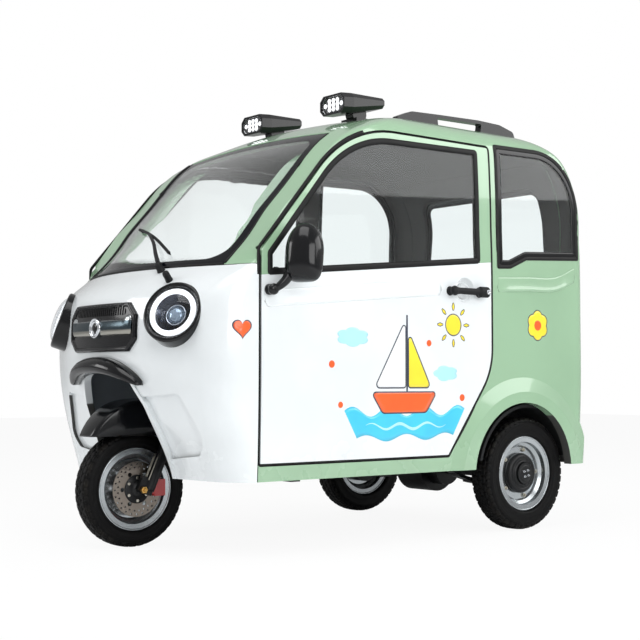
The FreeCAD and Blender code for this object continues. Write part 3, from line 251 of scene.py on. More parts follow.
def paint(name, colour):
    """Sprayed gloss: a faint orange peel under lacquer, road dust low down, and trim inside.

    A face is inside where its normal points towards the middle of the cabin: the dot
    product of the normal with the direction from the middle is below zero.
    """
    finish = Finish(name)
    z = finish.place()[2]
    cloud = finish.noise(3.0, 4.0)
    dust = (1.0 - z.step(DUST_FROM, DUST_TO)) * finish.noise(9.0, 5.0).step(0.35, 0.8)
    shade = tuple(channel * 0.93 for channel in colour[:3]) + (1.0,)
    coloured = finish.blend(cloud.step(0.35, 0.7), colour, shade)
    dusty = finish.blend(dust * 0.07, coloured, rgb(150, 146, 136))
    normal = finish.node("ShaderNodeTexCoord", output="Normal")
    spot = finish.node("ShaderNodeTexCoord", output="Object")
    outward = finish.node("ShaderNodeVectorMath", {"operation": "SUBTRACT"}, {0: spot, 1: CABIN_MIDDLE})
    facing = finish.node("ShaderNodeVectorMath", {"operation": "DOT_PRODUCT"}, {0: normal, 1: outward}, 1)
    inside = 1.0 - facing.step(-0.05, 0.0)
    grain = finish.noise(420.0, 2.0)
    peel = finish.noise(160.0, 2.0)
    height = peel * 0.25 + inside * grain
    return finish.done(finish.surface(
        Base_Color=finish.blend(inside, dusty, TRIM),
        Roughness=0.22 + inside * 0.35 + dust * 0.2,
        Coat_Weight=1.0 - inside, Coat_Roughness=0.04,
        Normal=finish.bump(height, 0.0002, 0.35)))


green_paint = paint("green_paint", GREEN)
white_paint = paint("white_paint", WHITE)


def dress(node, material):
    """Gives a CAD node its material."""
    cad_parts[node].data.materials.clear()
    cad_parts[node].data.materials.append(material)


for node in ("side_frame_left", "side_frame_right", "roof_panel", "rear_panel",
             "window_frame_left", "window_frame_right"):
    dress(node, green_paint)
for node in ("cowl", "door_left", "door_right"):
    dress(node, white_paint)


def moulding(name, colour, rough, grain=420.0, depth=0.0002, metal=0.0, coat=0.0, shine=0.5):
    """Moulded or cast stock: even colour with slow clouds, and a fine grain that also dulls it."""
    finish = Finish(name)
    cloud = finish.noise(7.0, 3.0)
    fine = finish.noise(grain, 3.0)
    worn = tuple(min(1.0, channel * 1.14 + 0.002) for channel in colour[:3]) + (1.0,)
    return finish.done(finish.surface(
        Base_Color=finish.blend(cloud.step(0.3, 0.75), colour, worn),
        Roughness=rough - 0.06 + fine * 0.12, Metallic=metal, Coat_Weight=coat, Specular_IOR_Level=shine,
        Normal=finish.bump(fine, depth, 0.4)))


black_gloss = moulding("black_gloss", rgb(8, 9, 12), 0.16, 200.0, 0.00005, coat=0.15, shine=0.3)
black_grain = moulding("black_grain", rgb(20, 21, 23), 0.55, shine=0.25)
black_rubber = moulding("black_rubber", rgb(12, 12, 13), 0.5, 700.0, 0.0001, shine=0.25)
grey_grain = moulding("grey_grain", rgb(112, 110, 104), 0.6)
chassis_black = moulding("chassis_black", rgb(18, 19, 21), 0.38, 260.0, 0.0002, shine=0.35)
cast_black = moulding("cast_black", rgb(14, 15, 17), 0.40, 320.0, 0.0003, shine=0.3)
ground_steel = moulding("ground_steel", rgb(128, 120, 112), 0.32, 500.0, 0.00005, metal=1.0)
wheel_silver = moulding("wheel_silver", rgb(172, 177, 180), 0.24, 60.0, 0.00001, metal=0.92, coat=0.2)
dark_well = moulding("dark_well", rgb(112, 118, 124), 0.55, shine=0.3)
bright_chrome = moulding("bright_chrome", rgb(205, 208, 212), 0.08, 200.0, 0.00003, metal=1.0)
red_enamel = moulding("red_enamel", rgb(176, 22, 26), 0.3, 300.0, 0.0001, coat=0.5)

for node, material in (
        ("grille", black_gloss), ("headlamps", black_gloss), ("front_well", dark_well), ("dash", grey_grain),
        ("floor_pan", grey_grain), ("rear_housings", black_grain), ("chassis", chassis_black),
        ("rear_axle", cast_black), ("leaf_springs", chassis_black), ("seat_box", grey_grain),
        ("roof_rails", black_gloss), ("roof_lamps", black_gloss),
        ("fork", cast_black), ("handlebar", black_grain),
        ("caliper", red_enamel), ("front_rim", wheel_silver), ("front_disc", ground_steel),
        ("rear_rim_left", wheel_silver), ("rear_rim_right", wheel_silver),
        ("rear_hub_left", cast_black), ("rear_hub_right", cast_black)):
    dress(node, material)

# Glass: a laminated windscreen with a black printed band, and toughened side and rear panes.
# Each pane is held by a black rubber that laps over its edge and the panel's.

SCREEN_HALF = 0.447
SCREEN_FOOT_Z = 0.969
SCREEN_TOP_Y = 0.55 + FRONT_AXLE_Y
BAND = 0.034
BAND_CORNER = 0.07
SLOPE = 1.42


def glass(name, colour, band=None):
    """Clear or tinted glass with faint smears; band is the share printed black."""
    finish = Finish(name)
    smear = finish.noise(5.0, 4.0).step(0.45, 0.9)
    pane = finish.surface(Base_Color=colour, Roughness=0.02 + smear * 0.02, Transmission_Weight=1.0, IOR=1.3)
    if band is None:
        return finish.done(pane)
    printed = finish.surface(Base_Color=rgb(9, 11, 16), Roughness=0.12, Specular_IOR_Level=0.3)
    return finish.done(finish.node("ShaderNodeMixShader", None, {0: band(finish), 1: pane, 2: printed}))


def screen_band(finish):
    """Printed border: outside a rounded rectangle drawn in from the pane's four edges."""
    x, y, z = finish.place()
    past = [(BAND + BAND_CORNER - (SCREEN_HALF - abs(x))).most(0.0),
            (BAND + BAND_CORNER - (z - SCREEN_FOOT_Z) * SLOPE).most(0.0),
            (BAND + BAND_CORNER + 0.02 - (SCREEN_TOP_Y - y) * SLOPE).most(0.0)]
    reach = (past[0] * past[0] + past[1] * past[1] + past[2] * past[2]).root()
    return reach.step(BAND_CORNER - 0.0005, BAND_CORNER + 0.0005)


dress("windscreen", glass("screen_glass", rgb(250, 253, 253), screen_band))
tinted_glass = glass("tinted_glass", rgb(247, 251, 251))
for node in ("door_glass_left", "door_glass_right", "rear_windows"):
    dress(node, tinted_glass)
clear_lens = glass("clear_lens", rgb(246, 248, 250))
dress("roof_lamp_lenses", clear_lens)


def cast_tree(nodes):
    """A search tree over the faces of some CAD nodes."""
    points = []
    faces = []
    for node in nodes:
        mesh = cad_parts[node].data
        first = len(points)
        points += [vertex.co.copy() for vertex in mesh.vertices]
        faces += [tuple(first + index for index in face.vertices) for face in mesh.polygons]
    return BVHTree.FromPolygons(points, faces)


SIDE_SKIN = cast_tree(["side_frame_left", "door_left", "window_frame_left", "door_glass_left",
                       "rear_windows", "cowl"])
FRONT_SKIN = cast_tree(["cowl", "windscreen", "roof_panel", "grille", "side_frame_left", "side_frame_right"])
REAR_SKIN = cast_tree(["rear_panel", "rear_windows", "side_frame_left", "side_frame_right", "roof_panel"])


def drape(tree, flat, direction):
    """Points of a flat drawing laid on the bodywork, with the outward normal at each.

    direction is "left", "front" or "rear"; flat holds (y, z) for the left and (x, z) otherwise.
    Each point is the first place that a level ray from outside meets.
    """
    laid = np.zeros((len(flat), 3))
    normals = np.zeros((len(flat), 3))
    inward = {"left": Vector((-1, 0, 0)), "front": Vector((0, 1, 0)), "rear": Vector((0, -1, 0))}[direction]
    for index, (across, up) in enumerate(flat):
        start = Vector((0, across, up)) if direction == "left" else Vector((across, 0, up))
        spot, normal, face, distance = tree.ray_cast(start - inward * 3, inward)
        if spot is None:
            spot, normal, face, distance = tree.find_nearest(start - inward * 0.56)
        laid[index] = spot
        normals[index] = normal if normal.dot(inward) < 0 else -normal
    return laid, normals


def rounded(corners, spacing=0.008):
    """Evenly spaced points round a closed outline whose corners (a, b, radius) are arcs."""
    rows = np.array(corners, float)
    here, radius = rows[:, :2], rows[:, 2:]
    back = np.roll(here, 1, 0) - here
    on = np.roll(here, -1, 0) - here
    back /= np.linalg.norm(back, axis=1, keepdims=True)
    on /= np.linalg.norm(on, axis=1, keepdims=True)
    half = np.arccos(np.clip((back * on).sum(1, keepdims=True), -1, 1)) / 2
    reach = radius / np.tan(half)
    share = np.linspace(0, 1, 25)[None, :, None]
    start, end = (here + back * reach)[:, None], (here + on * reach)[:, None]
    centre = (here + (back + on) / np.linalg.norm(back + on, axis=1, keepdims=True) * radius / np.sin(half))[:, None]
    first, last = start - centre, end - centre
    sweep = (math.pi / 2 - half)[:, None] * 2
    arc = (np.sin((1 - share) * sweep) * first + np.sin(share * sweep) * last) / np.maximum(np.sin(sweep), 1e-9)
    outline = (centre + arc).reshape(-1, 2)
    outline = np.vstack([outline, outline[:1]])
    run = np.concatenate([[0], np.cumsum(np.linalg.norm(np.diff(outline, axis=0), axis=1))])
    count = max(24, int(run[-1] / spacing))
    at = np.arange(count) * run[-1] / count
    return np.stack([np.interp(at, run, outline[:, axis]) for axis in (0, 1)], 1)


def inward_normals(outline):
    """Unit normals that point into a closed outline, from its neighbours' chords."""
    chord = np.roll(outline, -1, 0) - np.roll(outline, 1, 0)
    chord /= np.linalg.norm(chord, axis=1, keepdims=True)
    area = (outline[:, 0] * np.roll(outline[:, 1], -1) - np.roll(outline[:, 0], -1) * outline[:, 1]).sum()
    turn = 1.0 if area > 0 else -1.0
    return np.stack([-chord[:, 1], chord[:, 0]], 1) * turn


def grid_faces(rows, columns, wrap_rows=False, wrap_columns=False):
    """Four-cornered faces between neighbouring rows and columns of a grid of points."""
    down = np.arange(rows if wrap_rows else rows - 1)
    along = np.arange(columns if wrap_columns else columns - 1)
    i, j = np.meshgrid(down, along, indexing="ij")
    k, m = (i + 1) % rows, (j + 1) % columns
    return np.stack([i * columns + j, k * columns + j, k * columns + m, i * columns + m], -1).reshape(-1, 4)


def close_up(made):
    """Merges doubled points and turns every face outwards."""
    work = bmesh.new()
    work.from_mesh(made.data)
    bmesh.ops.remove_doubles(work, verts=work.verts, dist=0.00002)
    bmesh.ops.recalc_face_normals(work, faces=work.faces)
    work.to_mesh(made.data)
    work.free()
    return made


def piece(name, grids, material, body, wrap=(False, True), smooth=True):
    """Closed surfaces on grids of points as one object, finished, and riding on a body."""
    points, faces, first = [], [], 0
    for grid in grids:
        rows, columns = grid.shape[:2]
        points.append(grid.reshape(-1, 3))
        faces.append(grid_faces(rows, columns, *wrap) + first)
        first += rows * columns
    made = link_mesh(name, np.vstack(points), np.vstack(faces), smooth)
    close_up(made)
    made.data.materials.append(material)
    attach(made, body)
    return made


def flipped(grid):
    """The mirror image of a grid in the middle plane."""
    return grid * np.array([-1.0, 1.0, 1.0])


def pair(name, grids, material, body, wrap=(False, True)):
    """A piece on the left and its mirror image on the right; on a door, each rides its own."""
    made = {}
    for word, turn in (("left", np.asarray), ("right", flipped)):
        on = word + "_door" if body == "door" else body
        made[word] = piece(name + "_" + word, [turn(grid) for grid in grids], material, on, wrap)
    return made


def lip(outline, tree, direction, width, crown, lap=0.003):
    """A rubber round an opening: a low arch in section, from lap outside the outline to width inside.

    Height follows the square root of a parabola across the width; the last columns return
    under the skin, so the section is closed.
    """
    across = np.linspace(-lap, width, 7)
    share = (across + lap) / (width + lap)
    lift = crown * np.sqrt(np.clip(4 * share * (1 - share), 0, 1)) + 0.0002
    inwards = inward_normals(outline)
    columns = []
    for offset, height in zip(across, lift):
        spots, normals = drape(tree, outline + inwards * offset, direction)
        columns.append(spots + normals * height)
    spots, normals = drape(tree, outline + inwards * width, direction)
    columns.append(spots - normals * 0.001)
    spots, normals = drape(tree, outline - inwards * lap, direction)
    columns.append(spots - normals * 0.001)
    return np.stack(columns, 1)


DOOR_F = 0.150 + FRONT_AXLE_Y
DOOR_R = 1.257 + FRONT_AXLE_Y
DOOR_T = 1.486
TAIL = 1.800 + FRONT_AXLE_Y
DOOR_WINDOW = [(DOOR_F + 0.037, DOOR_T - 0.5505, 0.008), (DOOR_F + 0.037, DOOR_T - 0.476, 0.015),
               (DOOR_F + 0.401, DOOR_T - 0.037, 0.430), (DOOR_R - 0.070, DOOR_T - 0.027, 0.012),
               (DOOR_R - 0.070, DOOR_T - 0.4565, 0.012)]
QUARTER_WINDOW = [(DOOR_R + 0.027, DOOR_T + 0.008, 0.012), (TAIL - 0.036, DOOR_T + 0.017, 0.235),
                  (TAIL - 0.043, DOOR_T - 0.416, 0.008), (DOOR_R + 0.191, DOOR_T - 0.432, 0.025),
                  (DOOR_R + 0.100, DOOR_T - 0.470, 0.025), (DOOR_R + 0.024, DOOR_T - 0.474, 0.010)]
REAR_WINDOW = [(-0.370, 1.075, 0.030), (-0.345, 1.395, 0.060), (0.345, 1.395, 0.060), (0.370, 1.075, 0.030)]

door_lip = lip(rounded(DOOR_WINDOW), SIDE_SKIN, "left", 0.020, 0.004)
quarter_lip = lip(rounded(QUARTER_WINDOW), SIDE_SKIN, "left", 0.016, 0.004)
quarter_border = lip(rounded(QUARTER_WINDOW), SIDE_SKIN, "left", 0.034, 0.0008, -0.006)
rear_lip = lip(rounded(REAR_WINDOW), REAR_SKIN, "rear", 0.024, 0.004)
pair("door_window_rubber", [door_lip], black_rubber, "door", (True, True))
pair("quarter_window_rubber", [quarter_lip], black_rubber, "body", (True, True))
pair("quarter_window_border", [quarter_border], black_gloss, "body", (True, True))
piece("rear_window_rubber", [rear_lip], black_rubber, "body", (True, True))


def tube(path, radius, up=(0.0, 0.0, 1.0), sides=12, flat=1.0, closed=False):
    """A round or flattened bar: ellipses square to a path, at radius across and flat * radius up.

    A closed path gives a ring; an open one has its ends drawn to a point on the path.
    """
    path = np.asarray(path, float)
    radius = np.broadcast_to(np.asarray(radius, float), (len(path),))[:, None, None]
    tangent = np.roll(path, -1, 0) - np.roll(path, 1, 0) if closed else np.gradient(path, axis=0)
    tangent /= np.linalg.norm(tangent, axis=1, keepdims=True)
    side = np.cross(tangent, np.asarray(up, float))
    side /= np.linalg.norm(side, axis=1, keepdims=True)
    above = np.cross(side, tangent)
    turn = np.linspace(0, 2 * math.pi, sides, endpoint=False)[None, :, None]
    ring = path[:, None] + radius * (np.cos(turn) * side[:, None] + flat * np.sin(turn) * above[:, None])
    if closed:
        return ring
    first = np.repeat(path[:1][None], sides, 1)
    last = np.repeat(path[-1:][None], sides, 1)
    return np.concatenate([first, ring, last], 0)


# Windscreen bead: an extruded round rubber, pressed between the pane's foot and the cowl and
# between its sides and the pillars once the pane is bonded in.
BEAD_RADIUS = 0.0055
screen_foot = [(x, SCREEN_FOOT_Z + 0.002) for x in np.linspace(-SCREEN_HALF, SCREEN_HALF, 60)]
screen_side = [(SCREEN_HALF, z) for z in np.linspace(SCREEN_FOOT_Z + 0.006, 1.470, 50)]
foot_line = drape(FRONT_SKIN, screen_foot, "front")[0]
side_line = drape(FRONT_SKIN, screen_side, "front")[0]
for name, line, up in (("screen_bead_foot", foot_line, (0, -1, 0.4)), ("screen_bead_left", side_line, (0.3, -1, 0.4)),
                       ("screen_bead_right", flipped(side_line), (-0.3, -1, 0.4))):
    piece(name, [tube(line, BEAD_RADIUS, up)], black_rubber, "body")

# Door seals: a hollow extruded rubber in the gap round each door. It is stuck to the body's
# rebate, and the door closes against it.
DOOR_B = 0.300
DOOR_OUTLINE = [(DOOR_F, DOOR_B, 0.012), (DOOR_F, DOOR_T - 0.465, 0.025), (DOOR_F + 0.399, DOOR_T, 0.480),
                (DOOR_R, DOOR_T, 0.018), (DOOR_R, DOOR_B + 0.323, 0.260), (DOOR_R - 0.232, DOOR_B, 0.015)]
SEAL_DEPTH = 0.0065
SEAL_IN = 0.009
SEAL_RADIUS = 0.0046
door_ring = rounded(DOOR_OUTLINE)
edge_spots, edge_normals = drape(SIDE_SKIN, door_ring - inward_normals(door_ring) * 0.004, "left")
seal_path = edge_spots - edge_normals * SEAL_DEPTH
seal_path[:, 1:] += inward_normals(door_ring) * SEAL_IN

pair("door_seal", [tube(seal_path, SEAL_RADIUS, (1, 0, 0), 10, closed=True)], black_rubber, "body",
     (True, True))

# Pressed creases: on doors and quarters the sheet swells to a line and steps back under it,
# which stiffens the flat panel. They are pressed with the panel and sprayed with it.


def eased(points, count):
    """A smooth line through points, evenly stepped: cubic pieces whose slopes follow the neighbours."""
    points = np.asarray(points, float)
    run = np.concatenate([[0], np.cumsum(np.linalg.norm(np.diff(points, axis=0), axis=1))])
    slope = np.gradient(points, run, axis=0)
    at = np.linspace(0, run[-1], count)
    index = np.clip(np.searchsorted(run, at, side="right") - 1, 0, len(points) - 2)
    width = (run[index + 1] - run[index])[:, None]
    share = (at - run[index])[:, None] / width
    start, end = points[index], points[index + 1]
    return ((2 * share ** 3 - 3 * share ** 2 + 1) * start + (share ** 3 - 2 * share ** 2 + share) * width * slope[index]
            + (3 * share ** 2 - 2 * share ** 3) * end + (share ** 3 - share ** 2) * width * slope[index + 1])


def crease(points, height, reach=0.055, step=0.004):
    """A swage over a line: lift is height * (1 - d / reach)^2 above it and falls to 0 a step below."""
    line = eased(points, 70)
    taper = np.clip(np.minimum(np.linspace(0, 1, 70), np.linspace(1, 0, 70)) * 7, 0, 1)
    profile = [(reach * share, height * (1 - share) ** 2) for share in np.linspace(1, 0, 9)]
    profile += [(-step * 0.5, height * 0.55), (-step, 0.0)]
    columns = []
    for above, lift in profile:
        laid, normals = drape(SIDE_SKIN, line + np.array([0.0, above]), "left")
        columns.append(laid + normals * (lift * taper[:, None] + 0.00015))
    for above, lift in (profile[-1], profile[0]):
        laid, normals = drape(SIDE_SKIN, line + np.array([0.0, above]), "left")
        columns.append(laid - normals * 0.001)
    grid = np.stack(columns, 1)
    for end in (0, -1):
        grid[end] = (grid[end] + grid[end][::-1]) / 2
    return grid


DOOR_SWAGE = [(0.172 + FRONT_AXLE_Y, 0.830), (0.566 + FRONT_AXLE_Y, 0.865), (0.985 + FRONT_AXLE_Y, 0.902)]
QUARTER_SWAGE = [(1.282 + FRONT_AXLE_Y, 0.926), (1.450 + FRONT_AXLE_Y, 0.934), (1.627 + FRONT_AXLE_Y, 0.944),
                 (1.735 + FRONT_AXLE_Y, 0.985)]
pair("door_swage", [crease(DOOR_SWAGE, 0.0045)], white_paint, "door")
pair("quarter_swage", [crease(QUARTER_SWAGE, 0.0055)], green_paint, "body")

# Pillar rubber: a flat moulded lip on the body's edge in front of each door, from the belt to
# the roof. It is clipped to the edge at the door's level, so the shut door runs on into it.
PILLAR_FOOT, PILLAR_REACH = 0.560, 0.470
LIP_OUT, LIP_HALF, LIP_FLAT = 0.003, 0.0062, 0.38
front_edge = (door_ring[:, 1] > DOOR_T - PILLAR_FOOT) & (door_ring[:, 0] < DOOR_F + PILLAR_REACH)
pillar_line = door_ring[front_edge]
pillar_inwards = inward_normals(door_ring)[front_edge]
pillar_spots = drape(SIDE_SKIN, pillar_line + pillar_inwards * 0.016, "left")[0]
pillar_spots[:, 1:] = pillar_line - pillar_inwards * LIP_OUT
pillar_spots = pillar_spots[np.argsort(pillar_spots[:, 1:].sum(1))]
pillar_lip = tube(pillar_spots - np.array([0.0005, 0, 0]), LIP_HALF, (1, 0, 0), 10, LIP_FLAT)
pair("pillar_rubber", [pillar_lip], black_rubber, "body")

# Wheels: moulded rubber tyres with five staggered rows of round-cornered blocks, fitted on
# pressed steel rims whose edges are rolled over. Each tyre turns with its wheel.

FRONT_WHEEL = (0.0, FRONT_AXLE_Y, 0.204)
REAR_WHEEL = (0.480, 1.475 + FRONT_AXLE_Y, 0.220)


def spun(across, radius, centre, count):
    """Rows (across, radius) turned about the wheel's axle in count even steps."""
    angle = np.linspace(0, 2 * math.pi, count, endpoint=False)[:, None]
    ring = (centre[0] + across, centre[1] + radius * np.sin(angle), centre[2] + radius * np.cos(angle))
    return np.stack(np.broadcast_arrays(*ring), -1)


def rise(value, low, high):
    """0 below low, 1 above high, with a smooth step between."""
    share = np.clip((value - low) / (high - low), 0, 1)
    return share * share * (3 - 2 * share)


BLOCKS, STEPS_A_BLOCK = 42, 12
ROWS = 5
GROOVE = 0.0045
GROOVE_SHARE = 0.20
BLOCK_CORNER = 0.18
BEAD_TOP = 0.141


def tyre(name, centre, diameter, width, seat_half, body):
    """Tyre: carcass line from bead to bead, cut by grooves.

    In units of one block, a point is (u, v) from the nearest block's middle, odd rows half
    a block on. The block is a rounded square; the groove outside it is GROOVE deep.
    """
    top, half = diameter / 2, width / 2
    side = [(seat_half - 0.004, 0.1273), (seat_half, 0.1410), (seat_half + 0.003, 0.1450), (half * 0.90, 0.1500),
            (half * 0.99, (BEAD_TOP + top) / 2 - 0.004), (half, (BEAD_TOP + top) / 2 + 0.004), (half * 0.97, top - 0.018),
            (half * 0.90, top - 0.0095), (half * 0.72, top - 0.0032), (half * 0.40, top - 0.0006), (0.0, top)]
    line = np.vstack([eased(side, 46), eased(side, 46)[-2::-1] * np.array([-1, 1])])
    run = np.concatenate([[0], np.cumsum(np.linalg.norm(np.diff(line, axis=0), axis=1))])
    from_crown = run - run[-1] / 2
    tread_half = width * 0.56
    row = (from_crown / tread_half + 1) / 2 * ROWS
    number = np.clip(np.floor(row), 0, ROWS - 1)
    across = (row - number - 0.5)[None, :]
    turns = (np.arange(BLOCKS * STEPS_A_BLOCK) / STEPS_A_BLOCK)[:, None]
    along = (turns + 0.5 * (number % 2)[None, :]) % 1 - 0.5
    box = 0.5 - GROOVE_SHARE / 2 - BLOCK_CORNER
    past = np.hypot(np.maximum(abs(across) - box, 0), np.maximum(abs(along) - box * 1.04, 0))
    groove = rise(past, BLOCK_CORNER - 0.05, BLOCK_CORNER + 0.06)
    sipe = (1 - rise(abs(across), 0.02, 0.05)) * (1 - rise(abs(along), 0.16, 0.22)) * 0.4
    worn = np.abs(from_crown)[None, :]
    tread = 1 - rise(worn, tread_half - 0.0006, tread_half + 0.0012)
    depth = np.maximum(groove, sipe) * tread * GROOVE
    ribs = sum(height * (1 - rise(abs(line[:, 1] - at), 0.0008, 0.0020)) for at, height in (
        (0.153, 0.0012), (0.159, 0.0015), (0.166, 0.0009), (top - 0.030, 0.0013), (top - 0.024, 0.0010)))
    outward = np.gradient(line, axis=0)
    outward = np.stack([-outward[:, 1], outward[:, 0]], 1)
    outward /= np.linalg.norm(outward, axis=1, keepdims=True)
    outward *= np.sign((outward * (line - np.array([0, 0.165]))).sum(1, keepdims=True))
    move = ribs[None, :] - depth
    x = line[None, :, 0] + move * outward[None, :, 0]
    radius = line[None, :, 1] + move * outward[None, :, 1]
    grid = spun(x, radius, centre, BLOCKS * STEPS_A_BLOCK)
    return piece(name, [grid], rubber(name + "_rubber", centre, top), body, (True, True))


def rubber(name, centre, top):
    """Black rubber, greyed by dust in the grooves and on the flanks."""
    finish = Finish(name)
    back, up = [place - middle for place, middle in zip(finish.place()[1:], centre[1:])]
    radius = (back * back + up * up).root()
    in_groove = (1.0 - radius.step(top - 0.0050, top - 0.0012)) * radius.step(top - 0.016, top - 0.010)
    dust = finish.noise(30.0, 4.0).step(0.35, 0.8)
    fine = finish.noise(900.0, 2.0)
    tint = finish.blend((in_groove * 0.26 + 0.05) * dust, rgb(5, 5, 6), rgb(62, 58, 52))
    return finish.done(finish.surface(Base_Color=tint, Roughness=0.46 + dust * 0.12, Specular_IOR_Level=0.14,
                                      Normal=finish.bump(fine, 0.0002, 0.4)))


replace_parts(tyre("front_tread", FRONT_WHEEL, 0.408, 0.085, 0.0295, "front_wheel"), "front_tyre")
REAR_WHEELS = (("left", 1, REAR_WHEEL), ("right", -1, (-REAR_WHEEL[0], REAR_WHEEL[1], REAR_WHEEL[2])))
for word, sign, centre in REAR_WHEELS:
    made = tyre("rear_tread_" + word, centre, 0.440, 0.098, 0.0325, "rear_wheel_" + word)
    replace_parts(made, "rear_tyre_" + word)


def knob(centre, axis, profile, sides=24):
    """A turned piece: rows of (distance along the axis, radius) swept round the axis."""
    axis = np.asarray(axis, float) / np.linalg.norm(axis)
    side = np.cross(axis, (0.0, 0.0, 1.0) if abs(axis[2]) < 0.9 else (1.0, 0.0, 0.0))
    side /= np.linalg.norm(side)
    above = np.cross(axis, side)
    turn = np.linspace(0, 2 * math.pi, sides, endpoint=False)[None, :, None]
    rows = np.asarray(profile, float)
    out = np.asarray(centre, float) + rows[:, 0, None, None] * axis
    return out + rows[:, 1, None, None] * (np.cos(turn) * side + np.sin(turn) * above)


def ring_of(count, radius, centre, first=0.0):
    """Centres spaced evenly round the axle."""
    angles = first + np.arange(count) * 2 * math.pi / count
    return [(centre[0], centre[1] + radius * math.sin(a), centre[2] + radius * math.cos(a)) for a in angles]


def nut_profile(radius, height):
    """A hexagon nut's rows: foot, flank, chamfer, and the stud's end."""
    return [(-0.002, 0), (-0.002, radius), (height - 0.001, radius), (height, radius * 0.86),
            (height, radius * 0.55), (height + 0.004, radius * 0.5), (height + 0.005, radius * 0.4), (height + 0.005, 0)]


zinc = moulding("zinc_plate", rgb(186, 182, 170), 0.3, 300.0, 0.0001, metal=1.0)
brass = moulding("brass_plate", rgb(190, 150, 84), 0.3, 300.0, 0.0001, metal=1.0)
ROLL_ACROSS = np.array([0.0, 0.0025, 0.0035, 0.0025, 0.0, -0.0025, -0.0035, -0.0025])
ROLL_RISE = np.array([-0.0035, -0.0025, 0.0, 0.0025, 0.0035, 0.0025, 0.0, -0.0025])
ROLL_RADIUS = 0.1425
for name, centre, half, body in (
        ("front", FRONT_WHEEL, 0.0345, "front_wheel"),
        ("rear_left", REAR_WHEELS[0][2], 0.0375, "rear_wheel_left"),
        ("rear_right", REAR_WHEELS[1][2], 0.0375, "rear_wheel_right")):
    rolls = [spun(side * half + ROLL_ACROSS, ROLL_RADIUS + ROLL_RISE, centre, 96) for side in (-1, 1)]
    piece(name + "_rim_rolls", rolls, wheel_silver, body, (True, True))

# Front hub: a turned alloy carrier on the spindle. Six low zinc-plated bolts hold the brake
# disc to it, and a brass nut on each fork leg closes the spindle.
FRONT_FACE = FRONT_WHEEL[0] + 0.0463
low_bolt = [(-0.002, 0), (-0.002, 0.006), (0.0026, 0.006), (0.0034, 0.005), (0.0034, 0)]
bolts = [knob((FRONT_FACE + 0.003, y, z), (1, 0, 0), low_bolt, 6) for _, y, z in ring_of(6, 0.040, FRONT_WHEEL)]
piece("front_disc_bolts", bolts, zinc, "front_wheel", smooth=False)
carrier = [(-0.002, 0.0), (-0.002, 0.0500), (0.0022, 0.0500), (0.0030, 0.0490), (0.0030, 0.0300), (0.0100, 0.0280),
           (0.0160, 0.0240), (0.0160, 0.0)]
piece("front_hub_carrier", [knob((FRONT_FACE, FRONT_WHEEL[1], FRONT_WHEEL[2]), (1, 0, 0), carrier, 48)],
      cast_black, "front_wheel")
spindle_nuts = [knob((side * 0.090, FRONT_WHEEL[1], FRONT_WHEEL[2]), (side, 0, 0), nut_profile(0.013, 0.010), 6)
                for side in (-1, 1)]
piece("spindle_nuts", spindle_nuts, brass, "steering", smooth=False)

# Rear hubs: a black cast cover with turned rings on each hub's face. Four bright studs stand
# at its middle, and five plated nuts hold the wheel round it.
hub_cover = [(-0.010, 0.0), (-0.010, 0.0780), (0.002, 0.0780), (0.010, 0.0740), (0.014, 0.0660), (0.0145, 0.0610),
             (0.012, 0.0590), (0.012, 0.0550), (0.016, 0.0530), (0.020, 0.0470), (0.0205, 0.0440), (0.018, 0.0425),
             (0.018, 0.0390), (0.024, 0.0370), (0.029, 0.0320), (0.030, 0.0260), (0.030, 0.0)]
for word, sign, centre in REAR_WHEELS:
    face, axis, body = sign * (REAR_WHEEL[0] + 0.0163), (sign, 0, 0), "rear_wheel_" + word
    cover = knob((face, centre[1], centre[2]), axis, hub_cover, 64)
    piece("rear_hub_cover_" + word, [cover], cast_black, body)
    studs = [knob((face + sign * 0.029, y, z), axis, nut_profile(0.0052, 0.004), 6)
             for _, y, z in ring_of(4, 0.0145, centre, 0.6)]
    piece("rear_hub_studs_" + word, studs, bright_chrome, body, smooth=False)
    nuts = [knob((sign * (REAR_WHEEL[0] + 0.0035), y, z), axis, nut_profile(0.0085, 0.008), 6)
            for _, y, z in ring_of(5, 0.0940, centre, 0.3)]
    piece("rear_wheel_nuts_" + word, nuts, zinc, body, smooth=False)

# Headlamps: round projector units. Each has a ring of white light tubes round a dark blue
# reflector with a projector lens, seen through the clear cover that the bezel holds.

LAMP_AT = np.array([0.374, -0.057 + FRONT_AXLE_Y, 0.803])
LAMP_AIM = (0.46, -0.82, 0.34)


def glowing(name, colour, strength, coat=0.5):
    """A lit translucent moulding: its colour shines, under a clear coat."""
    finish = Finish(name)
    cloud = finish.noise(60.0, 2.0)
    return finish.done(finish.surface(Base_Color=colour, Roughness=0.25 + cloud * 0.1, Coat_Weight=coat,
                                      Emission_Color=colour, Emission_Strength=strength))


light_tube = glowing("light_tube", rgb(250, 252, 255), 1.1)
lamp_blue = moulding("lamp_blue", rgb(20, 30, 48), 0.18, 200.0, 0.00005, metal=0.6, coat=0.5)
lamp_shell = moulding("lamp_shell", rgb(172, 178, 186), 0.14, 200.0, 0.00003, metal=1.0)
projector_glass = moulding("projector_glass", rgb(128, 146, 164), 0.04, 100.0, 0.00001, metal=0.6, coat=1.0)

